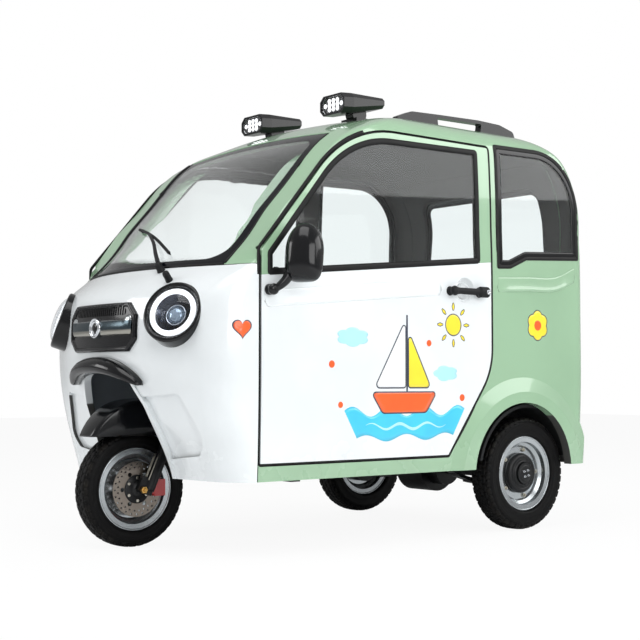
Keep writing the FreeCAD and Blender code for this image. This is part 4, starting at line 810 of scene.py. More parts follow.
lamp_parts = (
    ("ring", light_tube, 96, [
        (0.006, 0.0660), (0.0180, 0.0660), (0.0225, 0.0690), (0.0245, 0.0745), (0.0225, 0.0800), (0.0180, 0.0832),
        (0.006, 0.0832), (0.006, 0.0660)]),
    ("surround", black_gloss, 96, [
        (-0.010, 0.0834), (0.0120, 0.0834), (0.0145, 0.0860), (0.0120, 0.0893), (-0.010, 0.0893), (-0.010, 0.0834)]),
    ("reflector", lamp_blue, 72, [
        (-0.0295, 0.0), (-0.0295, 0.0655), (0.0140, 0.0655), (0.0130, 0.0640), (-0.0080, 0.0560), (-0.0200, 0.0440),
        (-0.0245, 0.0340), (-0.0245, 0.0)]),
    ("collar", lamp_shell, 64, [
        (-0.0243, 0.0), (-0.0243, 0.0370), (-0.0120, 0.0385), (-0.0070, 0.0372), (-0.0055, 0.0345), (-0.0085, 0.0318),
        (-0.0180, 0.0305), (-0.0180, 0.0)]),
    ("projector", projector_glass, 64, [
        (-0.0178, 0.0), (-0.0178, 0.0302), (-0.0110, 0.0296), (-0.0040, 0.0262), (0.0015, 0.0190), (0.0042, 0.0100),
        (0.0050, 0.0)]))
for name, material, sides, profile in lamp_parts:
    grid = knob(LAMP_AT, LAMP_AIM, profile, sides)
    piece("headlamp_" + name, [grid, flipped(grid)], material, "body")

# The cover is a domed clear shell 2.5 mm thick that stands 48 mm off the cowl.
dome = [(0.0480, 0.0), (0.0478, 0.0150), (0.0465, 0.0320), (0.0435, 0.0500), (0.0385, 0.0660), (0.0320, 0.0780),
        (0.0240, 0.0860), (0.0165, 0.0890), (0.0100, 0.0896)]
dome_inside = [(0.0100, 0.0870), (0.0145, 0.0866), (0.0218, 0.0840), (0.0297, 0.0765), (0.0360, 0.0652),
               (0.0410, 0.0495), (0.0440, 0.0320), (0.0453, 0.0150), (0.0455, 0.0)]
grid = knob(LAMP_AT, LAMP_AIM, np.vstack([eased(dome, 30), eased(dome_inside, 30)]), 72)
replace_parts(piece("headlamp_covers", [grid, flipped(grid)], clear_lens, "body"), "headlamp_lenses")

# Nose trim: a gloss black grille panel with a rolled rim, a convex smoked bar whose ends turn
# up, a plain round boss on it, and a thick black visor over the wheel's mouth.
GRILLE_LINE = [(-0.180, 0.682, 0.006), (-0.222, 0.722, 0.012), (-0.222, 0.806, 0.012), (-0.180, 0.850, 0.008),
               (0.180, 0.850, 0.008), (0.222, 0.806, 0.012), (0.222, 0.722, 0.012), (0.180, 0.682, 0.006)]
grille_rim = lip(rounded(GRILLE_LINE), FRONT_SKIN, "front", 0.017, 0.007, lap=-0.001)
piece("grille_rim", [grille_rim], black_gloss, "body", (True, True))

BAR_LOW, BAR_HIGH, BAR_END = 0.738, 0.792, 0.203
BAR_ROUND = 0.190
HORN_RISE, HORN_FROM, HORN_TO = 0.014, 0.158, 0.180


def smoked_chrome():
    """Dark plating with a painted reflection of the pale floor in its lower band and a painted highlight along its top
    edge.
    """
    finish = Finish("smoked_chrome")
    z = finish.place()[2]
    # Painted reflection: the lower band is lightened to the beige of the pale floor that the chrome faces.
    low = 1.0 - z.step(0.7530, 0.7600)
    # Painted highlight: a bright line along the top edge.
    painted_top_highlight = z.step(0.7865, 0.7900)
    tint = finish.blend(painted_top_highlight, finish.blend(low, rgb(70, 82, 88), rgb(158, 156, 148)), rgb(206, 210, 212))
    fine = finish.noise(200.0, 2.0)
    return finish.done(finish.surface(Base_Color=tint, Roughness=0.16 + fine * 0.06, Metallic=1.0,
                                      Normal=finish.bump(fine, 0.00003, 0.4)))


def drawn_in(rows):
    """A grid from rows, its first and last row gathered to their middles."""
    grid = np.array(rows)
    grid[0], grid[-1] = grid[0].mean(0), grid[-1].mean(0)
    return grid


# Each row of the bar is an arch from its lower to its upper edge; at the round ends both the
# arch and the height shrink with the square root of 1 - t^2.
swing = np.linspace(-1, 1, 13)
rows = []
for x in np.linspace(-BAR_END, BAR_END, 90):
    end = max(0.02, math.sqrt(max(0.0, 1 - max(0.0, (abs(x) - BAR_ROUND) / (BAR_END - BAR_ROUND)) ** 2)))
    high = BAR_HIGH + HORN_RISE * rise(abs(x), HORN_FROM, HORN_TO)
    middle, half = (high + BAR_LOW) / 2, (high - BAR_LOW) / 2 * end
    laid, normals = drape(FRONT_SKIN, np.column_stack([np.full(13, x), middle + half * swing]), "front")
    arch = (0.0010 + 0.0085 * np.sqrt(1 - swing ** 2)) * end
    rows.append(np.vstack([laid + normals * arch[:, None], (laid - normals * 0.001)[::-1]]))
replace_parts(piece("grille_bar_visor", [drawn_in(rows)], smoked_chrome(), "body"), "grille_bar")

boss_spot = drape(FRONT_SKIN, [(0.0, 0.765)], "front")[0][0]
boss_profile = [(-0.002, 0.0), (-0.002, 0.0350), (0.0120, 0.0350), (0.0155, 0.0330), (0.0155, 0.0305),
                (0.0120, 0.0285), (0.0120, 0.0250), (0.0142, 0.0240), (0.0142, 0.0220), (0.0110, 0.0205), (0.0110, 0.0)]
boss_dome = [(0.0090, 0.0), (0.0090, 0.0204), (0.0120, 0.0180), (0.0140, 0.0110), (0.0148, 0.0)]
piece("grille_boss", [knob(boss_spot, (0, -1, 0), boss_profile, 72)], bright_chrome, "body")
piece("grille_boss_dome", [knob(boss_spot, (0, -1, 0), boss_dome, 48)], black_gloss, "body")

# The visor's section is given as shares of its depth and half height. It droops towards its
# ends, where it grows thinner and lies closer to the cowl.
VISOR_END = 0.226
visor_section = np.array([(-0.006, 1.00), (0.25, 1.04), (0.55, 0.98), (0.80, 0.74), (0.95, 0.40), (1.00, 0.02),
                          (0.97, -0.34), (0.86, -0.66), (0.66, -0.88), (0.38, -0.98), (-0.006, -1.00)])
rows = []
for share in np.linspace(-1, 1, 81):
    middle = 0.638 - 0.066 * abs(share) ** 2.3
    half = 0.0285 * (1 - abs(share) ** 9) ** 0.5 * (1 - 0.40 * abs(share) ** 2)
    reach = 0.026 + 0.032 * (1 - abs(share) ** 2.6)
    spots, normals = drape(FRONT_SKIN, [(VISOR_END * share, middle + half + 0.004)], "front")
    out = normals[0][:2] / np.linalg.norm(normals[0][:2])
    depth = visor_section[:, 0] * np.where(visor_section[:, 0] > 0, reach, 1.0)
    height = middle + half * visor_section[:, 1] - 0.10 * np.maximum(depth, 0)
    rows.append(np.column_stack([spots[0][:2] + depth[:, None] * out, height]))
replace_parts(piece("mouth_visor", [drawn_in(rows)], black_gloss, "body"), "eyebrow")

# Front fender: a pressed black blade over the tyre, drawn in to its tip, with square shoulders
# and skirts cut level. It is bolted to the fork and turns with it.
BLADE_CENTRE = (FRONT_AXLE_Y + 0.022, 0.204)
BLADE_RADIUS, BLADE_HALF, BLADE_FOOT, BLADE_SHEET = 0.317, 0.073, 0.390, 0.004
SHOULDER = 0.016

# One row of the blade, right to left: share of the half width, drop below the crown, and, on
# the skirts, the share of the way down to the foot.
blade_crown = [(share, 0.005 * share ** 2, 0.0) for share in np.linspace(-0.86, 0.86, 15)]
blade_row = np.array([(-1.0, SHOULDER, 1.0), (-1.0, SHOULDER, 0.5), (-1.0, SHOULDER, 0.0), (-0.97, SHOULDER / 2, 0.0)]
                     + blade_crown
                     + [(0.97, SHOULDER / 2, 0.0), (1.0, SHOULDER, 0.0), (1.0, SHOULDER, 0.5), (1.0, SHOULDER, 1.0)])
rows = []
for angle in np.radians(np.linspace(48.0, -24.0, 49)):
    drawn = max(0.0, (math.degrees(angle) - 8.0) / 40.0)
    radius = BLADE_RADIUS - 0.039 * drawn ** 1.5
    half = BLADE_HALF - 0.025 * drawn ** 1.6
    layers = []
    for sheet in (0.0, BLADE_SHEET):
        local = radius - sheet - blade_row[:, 1]
        z = BLADE_CENTRE[1] + local * math.cos(angle)
        z += (BLADE_FOOT - z) * blade_row[:, 2]
        layers.append(np.column_stack([blade_row[:, 0] * (half - sheet), BLADE_CENTRE[0] - local * math.sin(angle),
                                       np.maximum(z, BLADE_FOOT)]))
    rows.append(np.vstack([layers[0], layers[1][::-1]]))
grid = np.array(rows)
for end in (0, -1):
    grid[end] = (grid[end] + grid[end][::-1]) / 2
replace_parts(piece("fender_blade", [grid], black_gloss, "steering"), "front_fender")

# Wiper: a pivot boss and a spring arm with a pressed hook that carries a boxed blade with a
# rubber edge. A second capped spindle and a washer jet stand on the cowl beside it.
WIPER_PIVOT, WIPER_NORMAL = (0.2058, -0.7937, 0.9590), (0.134, -0.651, 0.747)
WIPER_ARM = [(0.1980, -0.8027, 0.9866), (0.1500, -0.7815, 1.0180), (0.0674, -0.7396, 1.0678), (-0.0020, -0.7070, 1.0960),
             (-0.0763, -0.6716, 1.1192)]
WIPER_BLADE = [(-0.2594, -0.5998, 1.1567), (-0.1210, -0.6500, 1.1290), (0.0300, -0.7010, 1.0860),
               (0.1715, -0.7417, 1.0274)]
WIPER_UP = (0, -0.7, 0.7)
pivot_profile = [(-0.006, 0), (-0.006, 0.0145), (0.004, 0.0150), (0.006, 0.0130), (0.024, 0.0125), (0.030, 0.0110),
                 (0.033, 0.0060), (0.034, 0)]
blade_line = eased(WIPER_BLADE, 40)
wiper_parts = [knob(WIPER_PIVOT, WIPER_NORMAL, pivot_profile, 28),
               tube(eased(WIPER_ARM, 30), np.linspace(0.0085, 0.0048, 30), WIPER_UP, 12, 0.6),
               tube(blade_line, 0.0058, WIPER_UP, 8, 1.0),
               tube(blade_line - np.array(WIPER_UP) * 0.0062, 0.0032, WIPER_UP, 8, 1.4)]
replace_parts(piece("wiper_set", wiper_parts, black_grain, "body"), "wiper")
spindle_profile = [(-0.004, 0), (-0.004, 0.0135), (0.005, 0.0130), (0.007, 0.0110), (0.009, 0.0122), (0.030, 0.0118),
                   (0.036, 0.0095), (0.038, 0)]
jet_profile = [(-0.003, 0), (-0.003, 0.0055), (0.002, 0.0050), (0.005, 0.0025), (0.0055, 0)]
piece("washer_spindle", [knob((0.3020, -0.8219, 0.9189), (0.178, -0.628, 0.758), spindle_profile, 28),
                         knob((0.3300, -0.7990, 0.9240), (0.168, -0.598, 0.784), jet_profile, 16)],
      black_grain, "body")

# Roof work lamps: black finned housings on brackets, each with eleven round-faced light cells
# in a silver tray. The cells are clear mouldings over lit diodes.
CELL_COLUMNS, CELL_ROWS = 5, 3
CELL_PITCH_X, CELL_PITCH_Z = 0.0235, 0.0165
ROOF_LAMP = (0.257, 0.7195 + FRONT_AXLE_Y, 1.6220)
cell_profile = [(-0.002, 0), (-0.002, 0.0095), (0.0015, 0.0092), (0.0040, 0.0070), (0.0052, 0.0035), (0.0055, 0)]
cells = []
for column in range(CELL_COLUMNS):
    for line in range(CELL_ROWS):
        if line == 1 or 0 < column < CELL_COLUMNS - 1:
            x = ROOF_LAMP[0] + (column - (CELL_COLUMNS - 1) / 2) * CELL_PITCH_X
            z = ROOF_LAMP[2] + (line - (CELL_ROWS - 1) / 2) * CELL_PITCH_Z
            cells.append(knob((x, ROOF_LAMP[1], z), (0, -1, 0), cell_profile, 8))
piece("roof_lamp_cells", cells + [flipped(cell) for cell in cells], glowing("cell_light", rgb(252, 253, 255), 0.95),
      "body")

# Door mirrors: a flat silvered glass behind a thin rim, in a black moulded housing that is round
# above and square-cornered below. A curved neck joins it to a ball on the door's corner.
MIRROR_AT = (0.562 + 0.074, DOOR_F + 0.128, DOOR_T - 0.476)
MIRROR_TURN = math.radians(30)
MIRROR_LEAN = math.radians(-8)


def turned_by(angle, first, second):
    """Two coordinates after a turn by an angle in their plane."""
    return (first * math.cos(angle) - second * math.sin(angle), first * math.sin(angle) + second * math.cos(angle))


def housing_grid(rows):
    """Rings (along, half width, half height) of the housing: round above, square-cornered below.

    On the lower half the sine and cosine are raised to the power 0.5, which fills the corners.
    """
    turn = np.linspace(0, 2 * math.pi, 72, endpoint=False)
    power = np.where(np.sin(turn) < 0, 0.5, 1.0)
    across = np.sign(np.cos(turn)) * np.abs(np.cos(turn)) ** power
    above = np.sign(np.sin(turn)) * np.abs(np.sin(turn)) ** power
    grid = []
    for along, half_width, half_height in rows:
        x, y, z = half_width * across, np.full(72, along), half_height * above
        y, z = turned_by(MIRROR_LEAN, y, z)
        x, y = turned_by(MIRROR_TURN, x, y)
        grid.append(np.stack([x, y, z], 1) + MIRROR_AT)
    return np.array(grid)


mirror_silver = moulding("mirror_silver", rgb(214, 218, 220), 0.03, 100.0, 0.00001, metal=1.0)
mirror_glass = housing_grid([(0.0125, 0, 0), (0.0125, 0.0590, 0.0940), (0.0138, 0.0585, 0.0935),
                             (0.0144, 0.0575, 0.0925), (0.0144, 0, 0)])
shell_rows = [(-0.050, 0, 0)]
for share in np.sin(np.linspace(0, math.pi / 2, 16))[1:]:
    shell_rows.append((-0.050 + 0.058 * (1 - math.sqrt(1 - share ** 2)), 0.0650 * share ** 0.8, 0.1000 * share ** 0.8))
shell_rows += [(0.0130, 0.0655, 0.1005), (0.0165, 0.0650, 0.1000), (0.0172, 0.0635, 0.0985), (0.0165, 0.0610, 0.0960),
               (0.0110, 0.0600, 0.0950), (0.0110, 0, 0)]
neck_path = [(0.592, DOOR_F + 0.048, DOOR_T - 0.598), (0.598, DOOR_F + 0.060, DOOR_T - 0.588),
             (0.604, DOOR_F + 0.078, DOOR_T - 0.570), (0.608, DOOR_F + 0.092, DOOR_T - 0.545),
             (0.612, DOOR_F + 0.102, DOOR_T - 0.515)]
ball_profile = [(-0.030, 0), (-0.030, 0.0190), (-0.016, 0.0185), (-0.012, 0.0150), (-0.004, 0.0185), (0.002, 0.0192),
                (0.008, 0.0180), (0.013, 0.0135), (0.015, 0.0070), (0.0145, 0.0035), (0.012, 0.0030), (0.012, 0)]
mirror_parts = [housing_grid(shell_rows), tube(eased(neck_path, 16), np.linspace(0.0125, 0.0235, 16), (1, 0, 0), 20, 0.7),
                knob((0.562 + 0.024, DOOR_F + 0.040, DOOR_T - 0.601), (1, 0, 0), ball_profile, 32)]
pair("mirror_glass", [mirror_glass], mirror_silver, "door")
for word, housing in pair("mirror_housing", mirror_parts, black_gloss, "door").items():
    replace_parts(housing, "mirror_" + word)

# Door handles: a black moulded grip with a round front end and a square lock end, on two feet
# bolted through the leaf. Behind the grip the leaf is pressed in to a round cup for the fingers.
HANDLE_X, HANDLE_Z = 0.5890, 0.916
grip_y = np.linspace(0.222, 0.419, 60)
grip_half = (0.0125 + 0.0060 * np.exp(-((grip_y - 0.237) / 0.013) ** 2)
             + 0.0080 * rise(grip_y, 0.362, 0.370) * (1 - rise(grip_y, 0.410, 0.419)))
grip_half[0], grip_half[-1] = 0.0120, 0.0100
grip_line = np.column_stack([np.full(60, HANDLE_X), grip_y, np.full(60, HANDLE_Z)])
handle_parts = [tube(grip_line, grip_half, (1, 0, 0), 20, 0.72)]
for y, radius in ((0.238, 0.0155), (0.392, 0.0180)):
    foot_profile = [(0, 0), (0, radius + 0.002), (0.008, radius + 0.002), (0.010, radius), (0.030, radius - 0.001),
                    (0.030, 0)]
    handle_parts.append(knob((0.556, y, HANDLE_Z), (1, 0, 0), foot_profile, 28))
cup_turn = np.linspace(0, 2 * math.pi, 56, endpoint=False)
cup_rows = []
for share, lift in ((0.0, 0.0006), (0.3, 0.0006), (0.6, 0.0008), (0.78, 0.0014), (0.88, 0.0030), (0.93, 0.0036),
                    (0.97, 0.0026), (1.0, 0.0), (1.0, -0.0010), (0.0, -0.0010)):
    flat = np.stack([0.306 + 0.050 * share * np.cos(cup_turn), 0.917 + 0.036 * share * np.sin(cup_turn)], 1)
    laid, normals = drape(SIDE_SKIN, flat, "left")
    cup_rows.append(laid + normals * lift)
for word, grip in pair("handle_grip", handle_parts, black_grain, "door").items():
    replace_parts(grip, "door_handle_" + word)
pair("handle_cup", [np.array(cup_rows)], white_paint, "door")

# Stickers: cut vinyl film on both sides: on each door a small sailing boat on waves under a
# sun, with two clouds and a few dots, on each quarter a flower, on each cheek of the cowl a heart.


def vinyl(name, colour):
    """Printed film: flat colour with a clear gloss and a hint of texture."""
    return moulding(name, colour, 0.3, 600.0, 0.00002, coat=0.7)


ink = {
    "navy": vinyl("vinyl_navy", rgb(44, 52, 72)), "orange": vinyl("vinyl_orange", rgb(238, 92, 22)),
    "blue": vinyl("vinyl_blue", rgb(60, 196, 232)), "pale": vinyl("vinyl_pale", rgb(170, 226, 244)),
    "yellow": vinyl("vinyl_yellow", rgb(244, 222, 44)), "white": vinyl("vinyl_white", rgb(238, 240, 242)),
}


def sticker(outline, lift, rings=8):
    """A film on the left side: rings from the middle to the outline, draped and lifted off the
    panel, with a second layer under the paint that closes it."""
    outline = np.asarray(outline, float)
    middle = outline.mean(0)
    rows = []
    for share in np.linspace(0, 1, rings):
        laid, normals = drape(SIDE_SKIN, middle + (outline - middle) * share, "left")
        rows.append(laid + normals * lift)
    for share in np.linspace(1, 0, rings):
        laid, normals = drape(SIDE_SKIN, middle + (outline - middle) * share, "left")
        rows.append(laid - normals * 0.0006)
    return np.array(rows)


def circle(y, z, radius, count=40):
    """Evenly spaced points round a circle."""
    turn = np.linspace(0, 2 * math.pi, count, endpoint=False)
    return np.stack([y + radius * np.cos(turn), z + radius * np.sin(turn)], 1)


def spiked(y, z, points, outer, inner, first=0.0):
    """A star: its corners lie in turn on two circles."""
    turn = first + np.arange(points * 2) * math.pi / points
    radius = np.where(np.arange(points * 2) % 2 == 0, outer, inner)
    corners = np.stack([y + radius * np.sin(turn), z + radius * np.cos(turn), np.full(points * 2, 0.0015)], 1)
    return rounded(corners, outer * 0.08)


def lobes(y, z, width, height, count, depth):
    """A cloud: an ellipse whose radius swells count times round."""
    turn = np.linspace(0, 2 * math.pi, 96, endpoint=False)
    swell = 1 + depth * np.abs(np.sin(turn * count / 2))
    return np.stack([y + width * swell * np.cos(turn), z + height * swell * np.sin(turn)], 1)


def heart(y, z, size):
    """The heart curve: across 16 sin^3, up 13 cos - 5 cos 2 - 2 cos 3 - cos 4, scaled to its size."""
    turn = np.linspace(0, 2 * math.pi, 72, endpoint=False)
    across = 16 * np.sin(turn) ** 3
    up = 13 * np.cos(turn) - 5 * np.cos(2 * turn) - 2 * np.cos(3 * turn) - np.cos(4 * turn)
    return np.stack([y + across * size / 34, z + up * size / 34], 1)


def grown(outline, margin):
    """The outline moved outwards by a margin."""
    return outline - inward_normals(outline) * margin


SEA_Y, SEA_Z = 0.020, 0.455
boat_hull = rounded([(SEA_Y - 0.165, SEA_Z + 0.085, 0.008), (SEA_Y + 0.145, SEA_Z + 0.085, 0.008),
                     (SEA_Y + 0.095, SEA_Z + 0.015, 0.02), (SEA_Y - 0.115, SEA_Z + 0.015, 0.02)], 0.006)
main_sail = rounded([(SEA_Y - 0.008, SEA_Z + 0.340, 0.006), (SEA_Y - 0.008, SEA_Z + 0.105, 0.006),
                     (SEA_Y - 0.150, SEA_Z + 0.105, 0.010)], 0.006)
fore_sail = rounded([(SEA_Y + 0.010, SEA_Z + 0.300, 0.006), (SEA_Y + 0.115, SEA_Z + 0.105, 0.010),
                     (SEA_Y + 0.010, SEA_Z + 0.105, 0.006)], 0.006)
mast = rounded([(SEA_Y - 0.003, SEA_Z + 0.365, 0.001), (SEA_Y + 0.005, SEA_Z + 0.365, 0.001),
                (SEA_Y + 0.005, SEA_Z + 0.080, 0.001), (SEA_Y - 0.003, SEA_Z + 0.080, 0.001)], 0.004)
run = np.linspace(0, 1, 60)
wave_top = np.stack([SEA_Y - 0.30 + 0.60 * run, SEA_Z + 0.020 + 0.018 * np.sin(run * math.pi * 7)], 1)
wave_low = np.stack([SEA_Y - 0.24 + 0.48 * run, SEA_Z - 0.075 + 0.012 * np.sin(run * math.pi * 5)], 1)
crest = np.stack([SEA_Y - 0.20 + 0.40 * run, SEA_Z - 0.030 + 0.010 * np.sin(run * math.pi * 6)], 1)
crest_low = crest - np.array([0, 0.010]) * np.sin(run * math.pi)[:, None] - np.array([0, 0.001])


def strip(top, low, lift, rows=8):
    """A film between two lines, draped and closed on all sides by a layer under the paint."""
    outer, under = [], []
    for share in np.linspace(0, 1, rows):
        laid, normals = drape(SIDE_SKIN, top + (low - top) * share, "left")
        inner = laid - normals * 0.0006
        raised = laid + normals * lift
        raised[0], raised[-1] = inner[0], inner[-1]
        outer.append(raised)
        under.append(inner)
    return np.array(outer + under[::-1])


pair("waves", [strip(wave_top, wave_low, 0.0003)], ink["blue"], "door", (True, False))
pair("wave_crests", [strip(crest, crest_low, 0.0006)], ink["pale"], "door", (True, False))

SUN_Y, SUN_Z, SUN_RADIUS, RAY_AT = 0.255, 0.790, 0.038, 0.068
sun_disc = circle(SUN_Y, SUN_Z, SUN_RADIUS)
sun_rays = [spiked(SUN_Y + RAY_AT * math.sin(a), SUN_Z + RAY_AT * math.cos(a), 2, 0.016, 0.005, a)
            for a in np.arange(8) * math.pi / 4]
petals = lobes(0.720, 0.800, 0.048, 0.048, 6, 0.20)

# Films: name, ink, lift off the panel, body and outlines
FILMS = [
    ("boat_edges", "navy", 0.0006, "door", [grown(sail, 0.005) for sail in (boat_hull, main_sail, fore_sail)] + [mast]),
    ("boat_hull", "orange", 0.0009, "door", [boat_hull]),
    ("boat_sails", "white", 0.0009, "door", [main_sail]),
    ("boat_jib", "yellow", 0.0009, "door", [fore_sail]),
    ("sun_edges", "navy", 0.0003, "door", [grown(sun_disc, 0.004)] + [grown(ray, 0.003) for ray in sun_rays]),
    ("sun", "yellow", 0.0006, "door", [sun_disc] + sun_rays),
    ("clouds", "pale", 0.0003, "door", [lobes(-0.235, 0.735, 0.062, 0.028, 6, 0.22),
                                        lobes(0.215, 0.610, 0.052, 0.024, 5, 0.22)]),
    ("dots", "orange", 0.0003, "door", [circle(-0.330, 0.640, 0.013), circle(0.130, 0.720, 0.012),
                                        circle(0.300, 0.520, 0.013), circle(-0.290, 0.500, 0.011)]),
    ("flower_edges", "navy", 0.0003, "body", [grown(petals, 0.004)]),
    ("flower", "yellow", 0.0006, "body", [petals]),
    ("flower_middle", "orange", 0.0009, "body", [circle(0.720, 0.800, 0.020)]),
    ("heart_edge", "navy", 0.0004, "body", [heart(-0.705, 0.755, 0.076)]),
    ("heart", "orange", 0.0008, "body", [heart(-0.705, 0.755, 0.066)]),
]
for name, colour, lift, body, outlines in FILMS:
    pair(name, [sticker(outline, lift) for outline in outlines], ink[colour], body)

# Seats: foam pads in a stitched beige vinyl cover with piping, blown up by cloth pressure so
# the tops crown and the sides pull in. The driver's pads rest on a box, the bench on the deck.


def vinyl_cover(name):
    """Grained vinyl: pebbles from noise over slow colour clouds, duller in the hollows."""
    finish = Finish(name)
    pebble = finish.noise(650.0, 3.0)
    cloud = finish.noise(6.0, 3.0)
    tint = finish.blend(cloud.step(0.3, 0.8), rgb(150, 140, 124), rgb(134, 124, 108))
    return finish.done(finish.surface(Base_Color=tint, Roughness=0.46 + pebble * 0.18,
                                      Normal=finish.bump(pebble, 0.0006, 0.6)))


seat_cover = vinyl_cover("seat_cover")
piping_cover = moulding("piping_cover", rgb(58, 54, 50), 0.5, 700.0, 0.0002)
FURROW_DEPTH, FURROW_WIDTH = 0.006, 0.009


def read(vertices, name):
    """An array of rows of three: the vertices' places or normals."""
    values = np.empty(len(vertices) * 3)
    vertices.foreach_get(name, values)
    return values.reshape(-1, 3)


def swell(made, limit):
    """Runs cloth pressure on a closed mesh for 20 frames and keeps each point's move within limit."""
    before = read(made.data.vertices, "co")
    cloth = made.modifiers.new("stuffing", "CLOTH")
    cloth.settings.use_pressure = True
    cloth.settings.uniform_pressure_force = 4.0
    cloth.settings.effector_weights.gravity = 0.0
    cloth.settings.tension_stiffness = 20
    cloth.settings.compression_stiffness = 20
    cloth.collision_settings.use_collision = False
    for step in range(1, 21):
        scene.frame_set(step)
    solved = made.evaluated_get(bpy.context.evaluated_depsgraph_get())
    move = read(solved.data.vertices, "co") - before
    made.modifiers.remove(cloth)
    scene.frame_set(1)
    length = np.linalg.norm(move, axis=1, keepdims=True)
    move *= np.minimum(1.0, limit / np.maximum(length, 1e-9))
    made.data.vertices.foreach_set("co", (before + move).ravel())
    made.data.update()


def cushion(node, voxel, shrink, limit, channels, lean=0.0, floor_z=None):
    """A stuffed pad from a CAD pad: drawn in by shrink, remeshed, swollen, then sewn.

    A sewn channel is a furrow whose depth falls off as exp(-(x / width)^2) to both sides.
    """
    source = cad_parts[node].data
    made = bpy.data.objects.new(node + "_pad", source.copy())
    scene.collection.objects.link(made)
    close_up(made)
    points = read(made.data.vertices, "co")
    low, high = points.min(0), points.max(0)
    middle = (low + high) / 2
    points = middle + (points - middle) * (1 - 2 * shrink / (high - low))
    made.data.vertices.foreach_set("co", points.ravel())
    remesh = made.modifiers.new("even_mesh", "REMESH")
    remesh.mode = "VOXEL"
    remesh.voxel_size = voxel
    flat = bpy.data.meshes.new_from_object(made.evaluated_get(bpy.context.evaluated_depsgraph_get()))
    made.modifiers.clear()
    made.data = flat
    swell(made, limit)
    points, normals = read(made.data.vertices, "co"), read(made.data.vertices, "normal")
    facing = np.array([0.0, -math.cos(lean), math.sin(lean)]) if lean else np.array([0.0, 0.0, 1.0])
    sewn = rise(normals @ facing, 0.45, 0.85)
    furrow = sum(np.exp(-((points[:, 0] - x) / FURROW_WIDTH) ** 2) for x in channels)
    points = points - normals * (FURROW_DEPTH * np.clip(furrow, 0, 1) * sewn)[:, None]
    if floor_z is not None:
        points[:, 2] = np.maximum(points[:, 2], floor_z)
    made.data.vertices.foreach_set("co", points.ravel())
    made.data.polygons.foreach_set("use_smooth", [True] * len(made.data.polygons))
    made.data.materials.clear()
    made.data.materials.append(seat_cover)
    subdivision = made.modifiers.new("smooth_cover", "SUBSURF")
    subdivision.levels = subdivision.render_levels = 1
    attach(made, "body")
    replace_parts(made, node)
    return made


def piping(name, pad_piece, line, radius=0.0035):
    """A round cord sewn into the seam: a closed tube through the pad's nearest points to a line."""
    mesh = pad_piece.data
    tree = BVHTree.FromPolygons([v.co.copy() for v in mesh.vertices], [tuple(f.vertices) for f in mesh.polygons])
    spots = np.array([tree.find_nearest(Vector(point))[0][:] for point in line])
    for _ in range(3):
        spots = (np.roll(spots, 1, 0) + 2 * spots + np.roll(spots, -1, 0)) / 4
    cord = tube(spots, radius, (0.1, 0.2, 1.0), 8, closed=True)
    piece(name, [cord], piping_cover, "body", (True, True))


def level_line(x, y0, y1, z, radius):
    """The outline of a cushion's upper edge."""
    flat = rounded([(-x, y0, radius), (x, y0, radius), (x, y1, radius), (-x, y1, radius)], 0.012)
    return np.column_stack([flat, np.full(len(flat), z)])


def leaning_line(x, y, z0, z1, radius, lean, forward):
    """The outline of a reclined back's front face."""
    flat = rounded([(-x, z0, radius), (x, z0, radius), (x, z1, radius), (-x, z1, radius)], 0.012)
    up = flat[:, 1] - z0
    return np.column_stack([flat[:, 0], y + up * math.sin(lean) - forward, z0 + up * math.cos(lean)])


RECLINE = math.radians(8)
SEAT_Y = 0.700 + FRONT_AXLE_Y
BENCH_Y = 1.260 + FRONT_AXLE_Y
BENCH_END = 1.650 + FRONT_AXLE_Y
DRIVER_SEAMS = (-0.105, -0.035, 0.035, 0.105)
BENCH_SEAMS = (-0.34, -0.225, -0.11, 0.0, 0.11, 0.225, 0.34)
pad = cushion("driver_cushion", 0.006, 0.009, 0.012, DRIVER_SEAMS, floor_z=0.5305)
piping("driver_cushion_piping", pad, level_line(0.206, SEAT_Y + 0.009, SEAT_Y + 0.361, 0.612, 0.055))
pad = cushion("driver_backrest", 0.006, 0.009, 0.012, DRIVER_SEAMS, lean=RECLINE)
piping("driver_backrest_piping", pad, leaning_line(0.196, SEAT_Y + 0.345, 0.640, 1.000, 0.05, RECLINE, -0.010))
pad = cushion("bench_cushion", 0.0075, 0.010, 0.014, BENCH_SEAMS, floor_z=0.5455)
piping("bench_cushion_piping", pad, level_line(0.445, BENCH_Y + 0.010, BENCH_END - 0.010, 0.650, 0.045))
pad = cushion("bench_backrest", 0.0075, 0.009, 0.012, BENCH_SEAMS, lean=RECLINE)
piping("bench_backrest_piping", pad, leaning_line(0.440, BENCH_END - 0.045, 0.690, 1.020, 0.045, RECLINE, -0.010))

# Handlebar fittings: ribbed rubber grips with end flanges, pushed on to the bar, and a round
# instrument with a dark face in a black bezel, clamped at the bar's middle.
STEM_FOOT = np.array([0.0, 0.045 + FRONT_AXLE_Y, 0.204])
BAR_RISE = 0.840
RAKE = math.radians(25)


def on_column(x, forward, up):
    """A point in the steering column's frame: across, ahead of the stem and along it."""
    return STEM_FOOT + np.array([x, -forward * math.cos(RAKE) + up * math.sin(RAKE),
                                 forward * math.sin(RAKE) + up * math.cos(RAKE)])


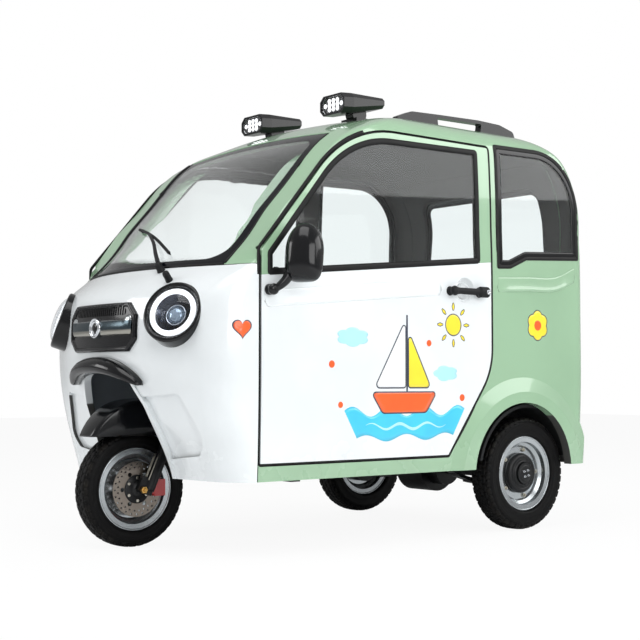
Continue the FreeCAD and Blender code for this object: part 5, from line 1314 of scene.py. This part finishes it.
grip_rows = [(0.0, 0.0), (0.0, 0.0195)]
for start in 0.002 + 0.008 * np.arange(15):
    grip_rows += [(start, 0.0195), (start + 0.0045, 0.0195), (start + 0.0052, 0.0180), (start + 0.0073, 0.0180)]
grip_rows += [(0.1225, 0.0195), (0.1230, 0.0230), (0.1275, 0.0230), (0.1285, 0.0215), (0.1285, 0.0)]
grips = [knob(on_column(side * 0.196, 0, BAR_RISE), (side, 0, 0), grip_rows, 28) for side in (1, -1)]
piece("grips", grips, black_rubber, "steering")
column_up = np.array([0.0, math.sin(RAKE), math.cos(RAKE)])
dial_rows = [(0.0, 0.0), (0.0, 0.033), (0.004, 0.035), (0.006, 0.034), (0.0065, 0.0315), (0.0045, 0.0305), (0.0045, 0.0)]
dial_face = [(0, 0), (0, 0.030), (0.0012, 0.0300), (0.002, 0.0)]
piece("instrument_bezel", [knob(on_column(0, -0.002, BAR_RISE + 0.0465), column_up, dial_rows, 48)], black_gloss,
      "steering")
piece("instrument_glass", [knob(on_column(0, -0.002, BAR_RISE + 0.0505), column_up, dial_face, 48)],
      vinyl("instrument_face", rgb(26, 34, 40)), "steering")

# Handle locks: a turned and plated key barrel with a shallow sunk face, pressed into the
# square end of each handle's grip.
barrel_profile = [(-0.004, 0), (-0.004, 0.0092), (0.0005, 0.0092), (0.0015, 0.0084), (0.0015, 0.0068),
                  (0.0004, 0.0064), (0.0004, 0)]
barrel = knob((0.6040, 1.191 + FRONT_AXLE_Y, 0.916), (1, 0, 0), barrel_profile, 28)
pair("key_barrel", [barrel], bright_chrome, "door")

# Tail lamps: one ribbed moulding each side, red above, amber in the middle and clear below. It
# is screwed to the rear panel in a raised black rim.


def lamp_segments(name):
    """Coloured plastic by height, under ribs whose height follows the sine of z."""
    finish = Finish(name)
    z = finish.place()[2]
    ribs = (z * 1250.0).sine() * 0.5 + 0.5
    amber = z.step(0.8195, 0.8205)
    red = z.step(0.8795, 0.8805)
    tint = finish.blend(red, finish.blend(amber, rgb(214, 216, 216), rgb(226, 120, 22)), rgb(176, 14, 18))
    return finish.done(finish.surface(Base_Color=tint, Roughness=0.12 + ribs * 0.05, Coat_Weight=1.0,
                                      Coat_Roughness=0.03, Normal=finish.bump(ribs, 0.0012, 0.6)))


dress("tail_lamps", lamp_segments("tail_lamp_red"))
lamp_frame = [(0.348, 0.756, 0.020), (0.348, 0.964, 0.020), (0.424, 0.964, 0.020), (0.424, 0.756, 0.020)]
frame_line = rounded(lamp_frame, 0.01)
frame_path = np.column_stack([frame_line[:, 0], np.full(len(frame_line), TAIL + 0.0030), frame_line[:, 1]])
rim = tube(frame_path, 0.0042, (0, 1, 0), 8, closed=True)
piece("tail_lamp_rims", [rim, flipped(rim)], black_gloss, "body", (True, True))

# Fork legs: each slider is a black casting. Three bright metal ribs run down its front,
# below the dust seal.
SLIDER_BACK = -0.045 * math.cos(RAKE) + 0.026
SLIDER_X, SLIDER_RADIUS = 0.073, 0.0235
ribs = []
for side in (-1, 1):
    for turn_to in (-35, 0, 35):
        turned = math.radians(turn_to)
        across = side * (SLIDER_X + SLIDER_RADIUS * math.sin(turned))
        ahead = -SLIDER_BACK + SLIDER_RADIUS * math.cos(turned)
        low, high = on_column(across, ahead, 0.020), on_column(across, ahead, 0.120)
        ribs.append(tube(np.linspace(low, high, 6), 0.0022, (1, 0, 0), 8))
piece("slider_ribs", ribs, zinc, "steering")

# Rear fittings: two plated bolts in the number plate's recess, a black plate lamp over it, a
# round red reflector low on each side, and a narrow stop lamp above the window.
bolt_profile = [(-0.003, 0), (-0.003, 0.0085), (0.0008, 0.0085), (0.0012, 0.0060), (0.0045, 0.0055), (0.0055, 0.0040),
                (0.0055, 0)]
plate_bolts = [knob((x, 1.796 + FRONT_AXLE_Y, 0.61), (0, 1, 0), bolt_profile, 6) for x in (-0.055, 0.055)]
piece("plate_bolts", plate_bolts, zinc, "body", smooth=False)
red_disc = vinyl("reflector_red", rgb(178, 16, 18))
reflector_profile = [(0, 0), (0, 0.0270), (0.006, 0.0270), (0.008, 0.0250), (0.0085, 0.0180), (0.009, 0)]
reflectors = [knob((x, TAIL - 0.002, 0.400), (0, 1, 0), reflector_profile, 40) for x in (-0.385, 0.385)]
piece("rear_reflectors", reflectors, red_disc, "body")
lamp_path = np.column_stack([np.linspace(-0.055, 0.055, 12), np.full(12, TAIL + 0.003), np.full(12, 0.715)])
piece("plate_lamp", [tube(lamp_path, 0.0105, (0, 0, 1), 16, 0.8)], black_gloss, "body")
stop_line = drape(REAR_SKIN, np.column_stack([np.linspace(-0.110, 0.110, 20), np.full(20, 1.455)]), "rear")[0]
piece("high_stop_lamp", [tube(stop_line, 0.0085, (0, 0, 1), 14, 0.7)], red_disc, "body")
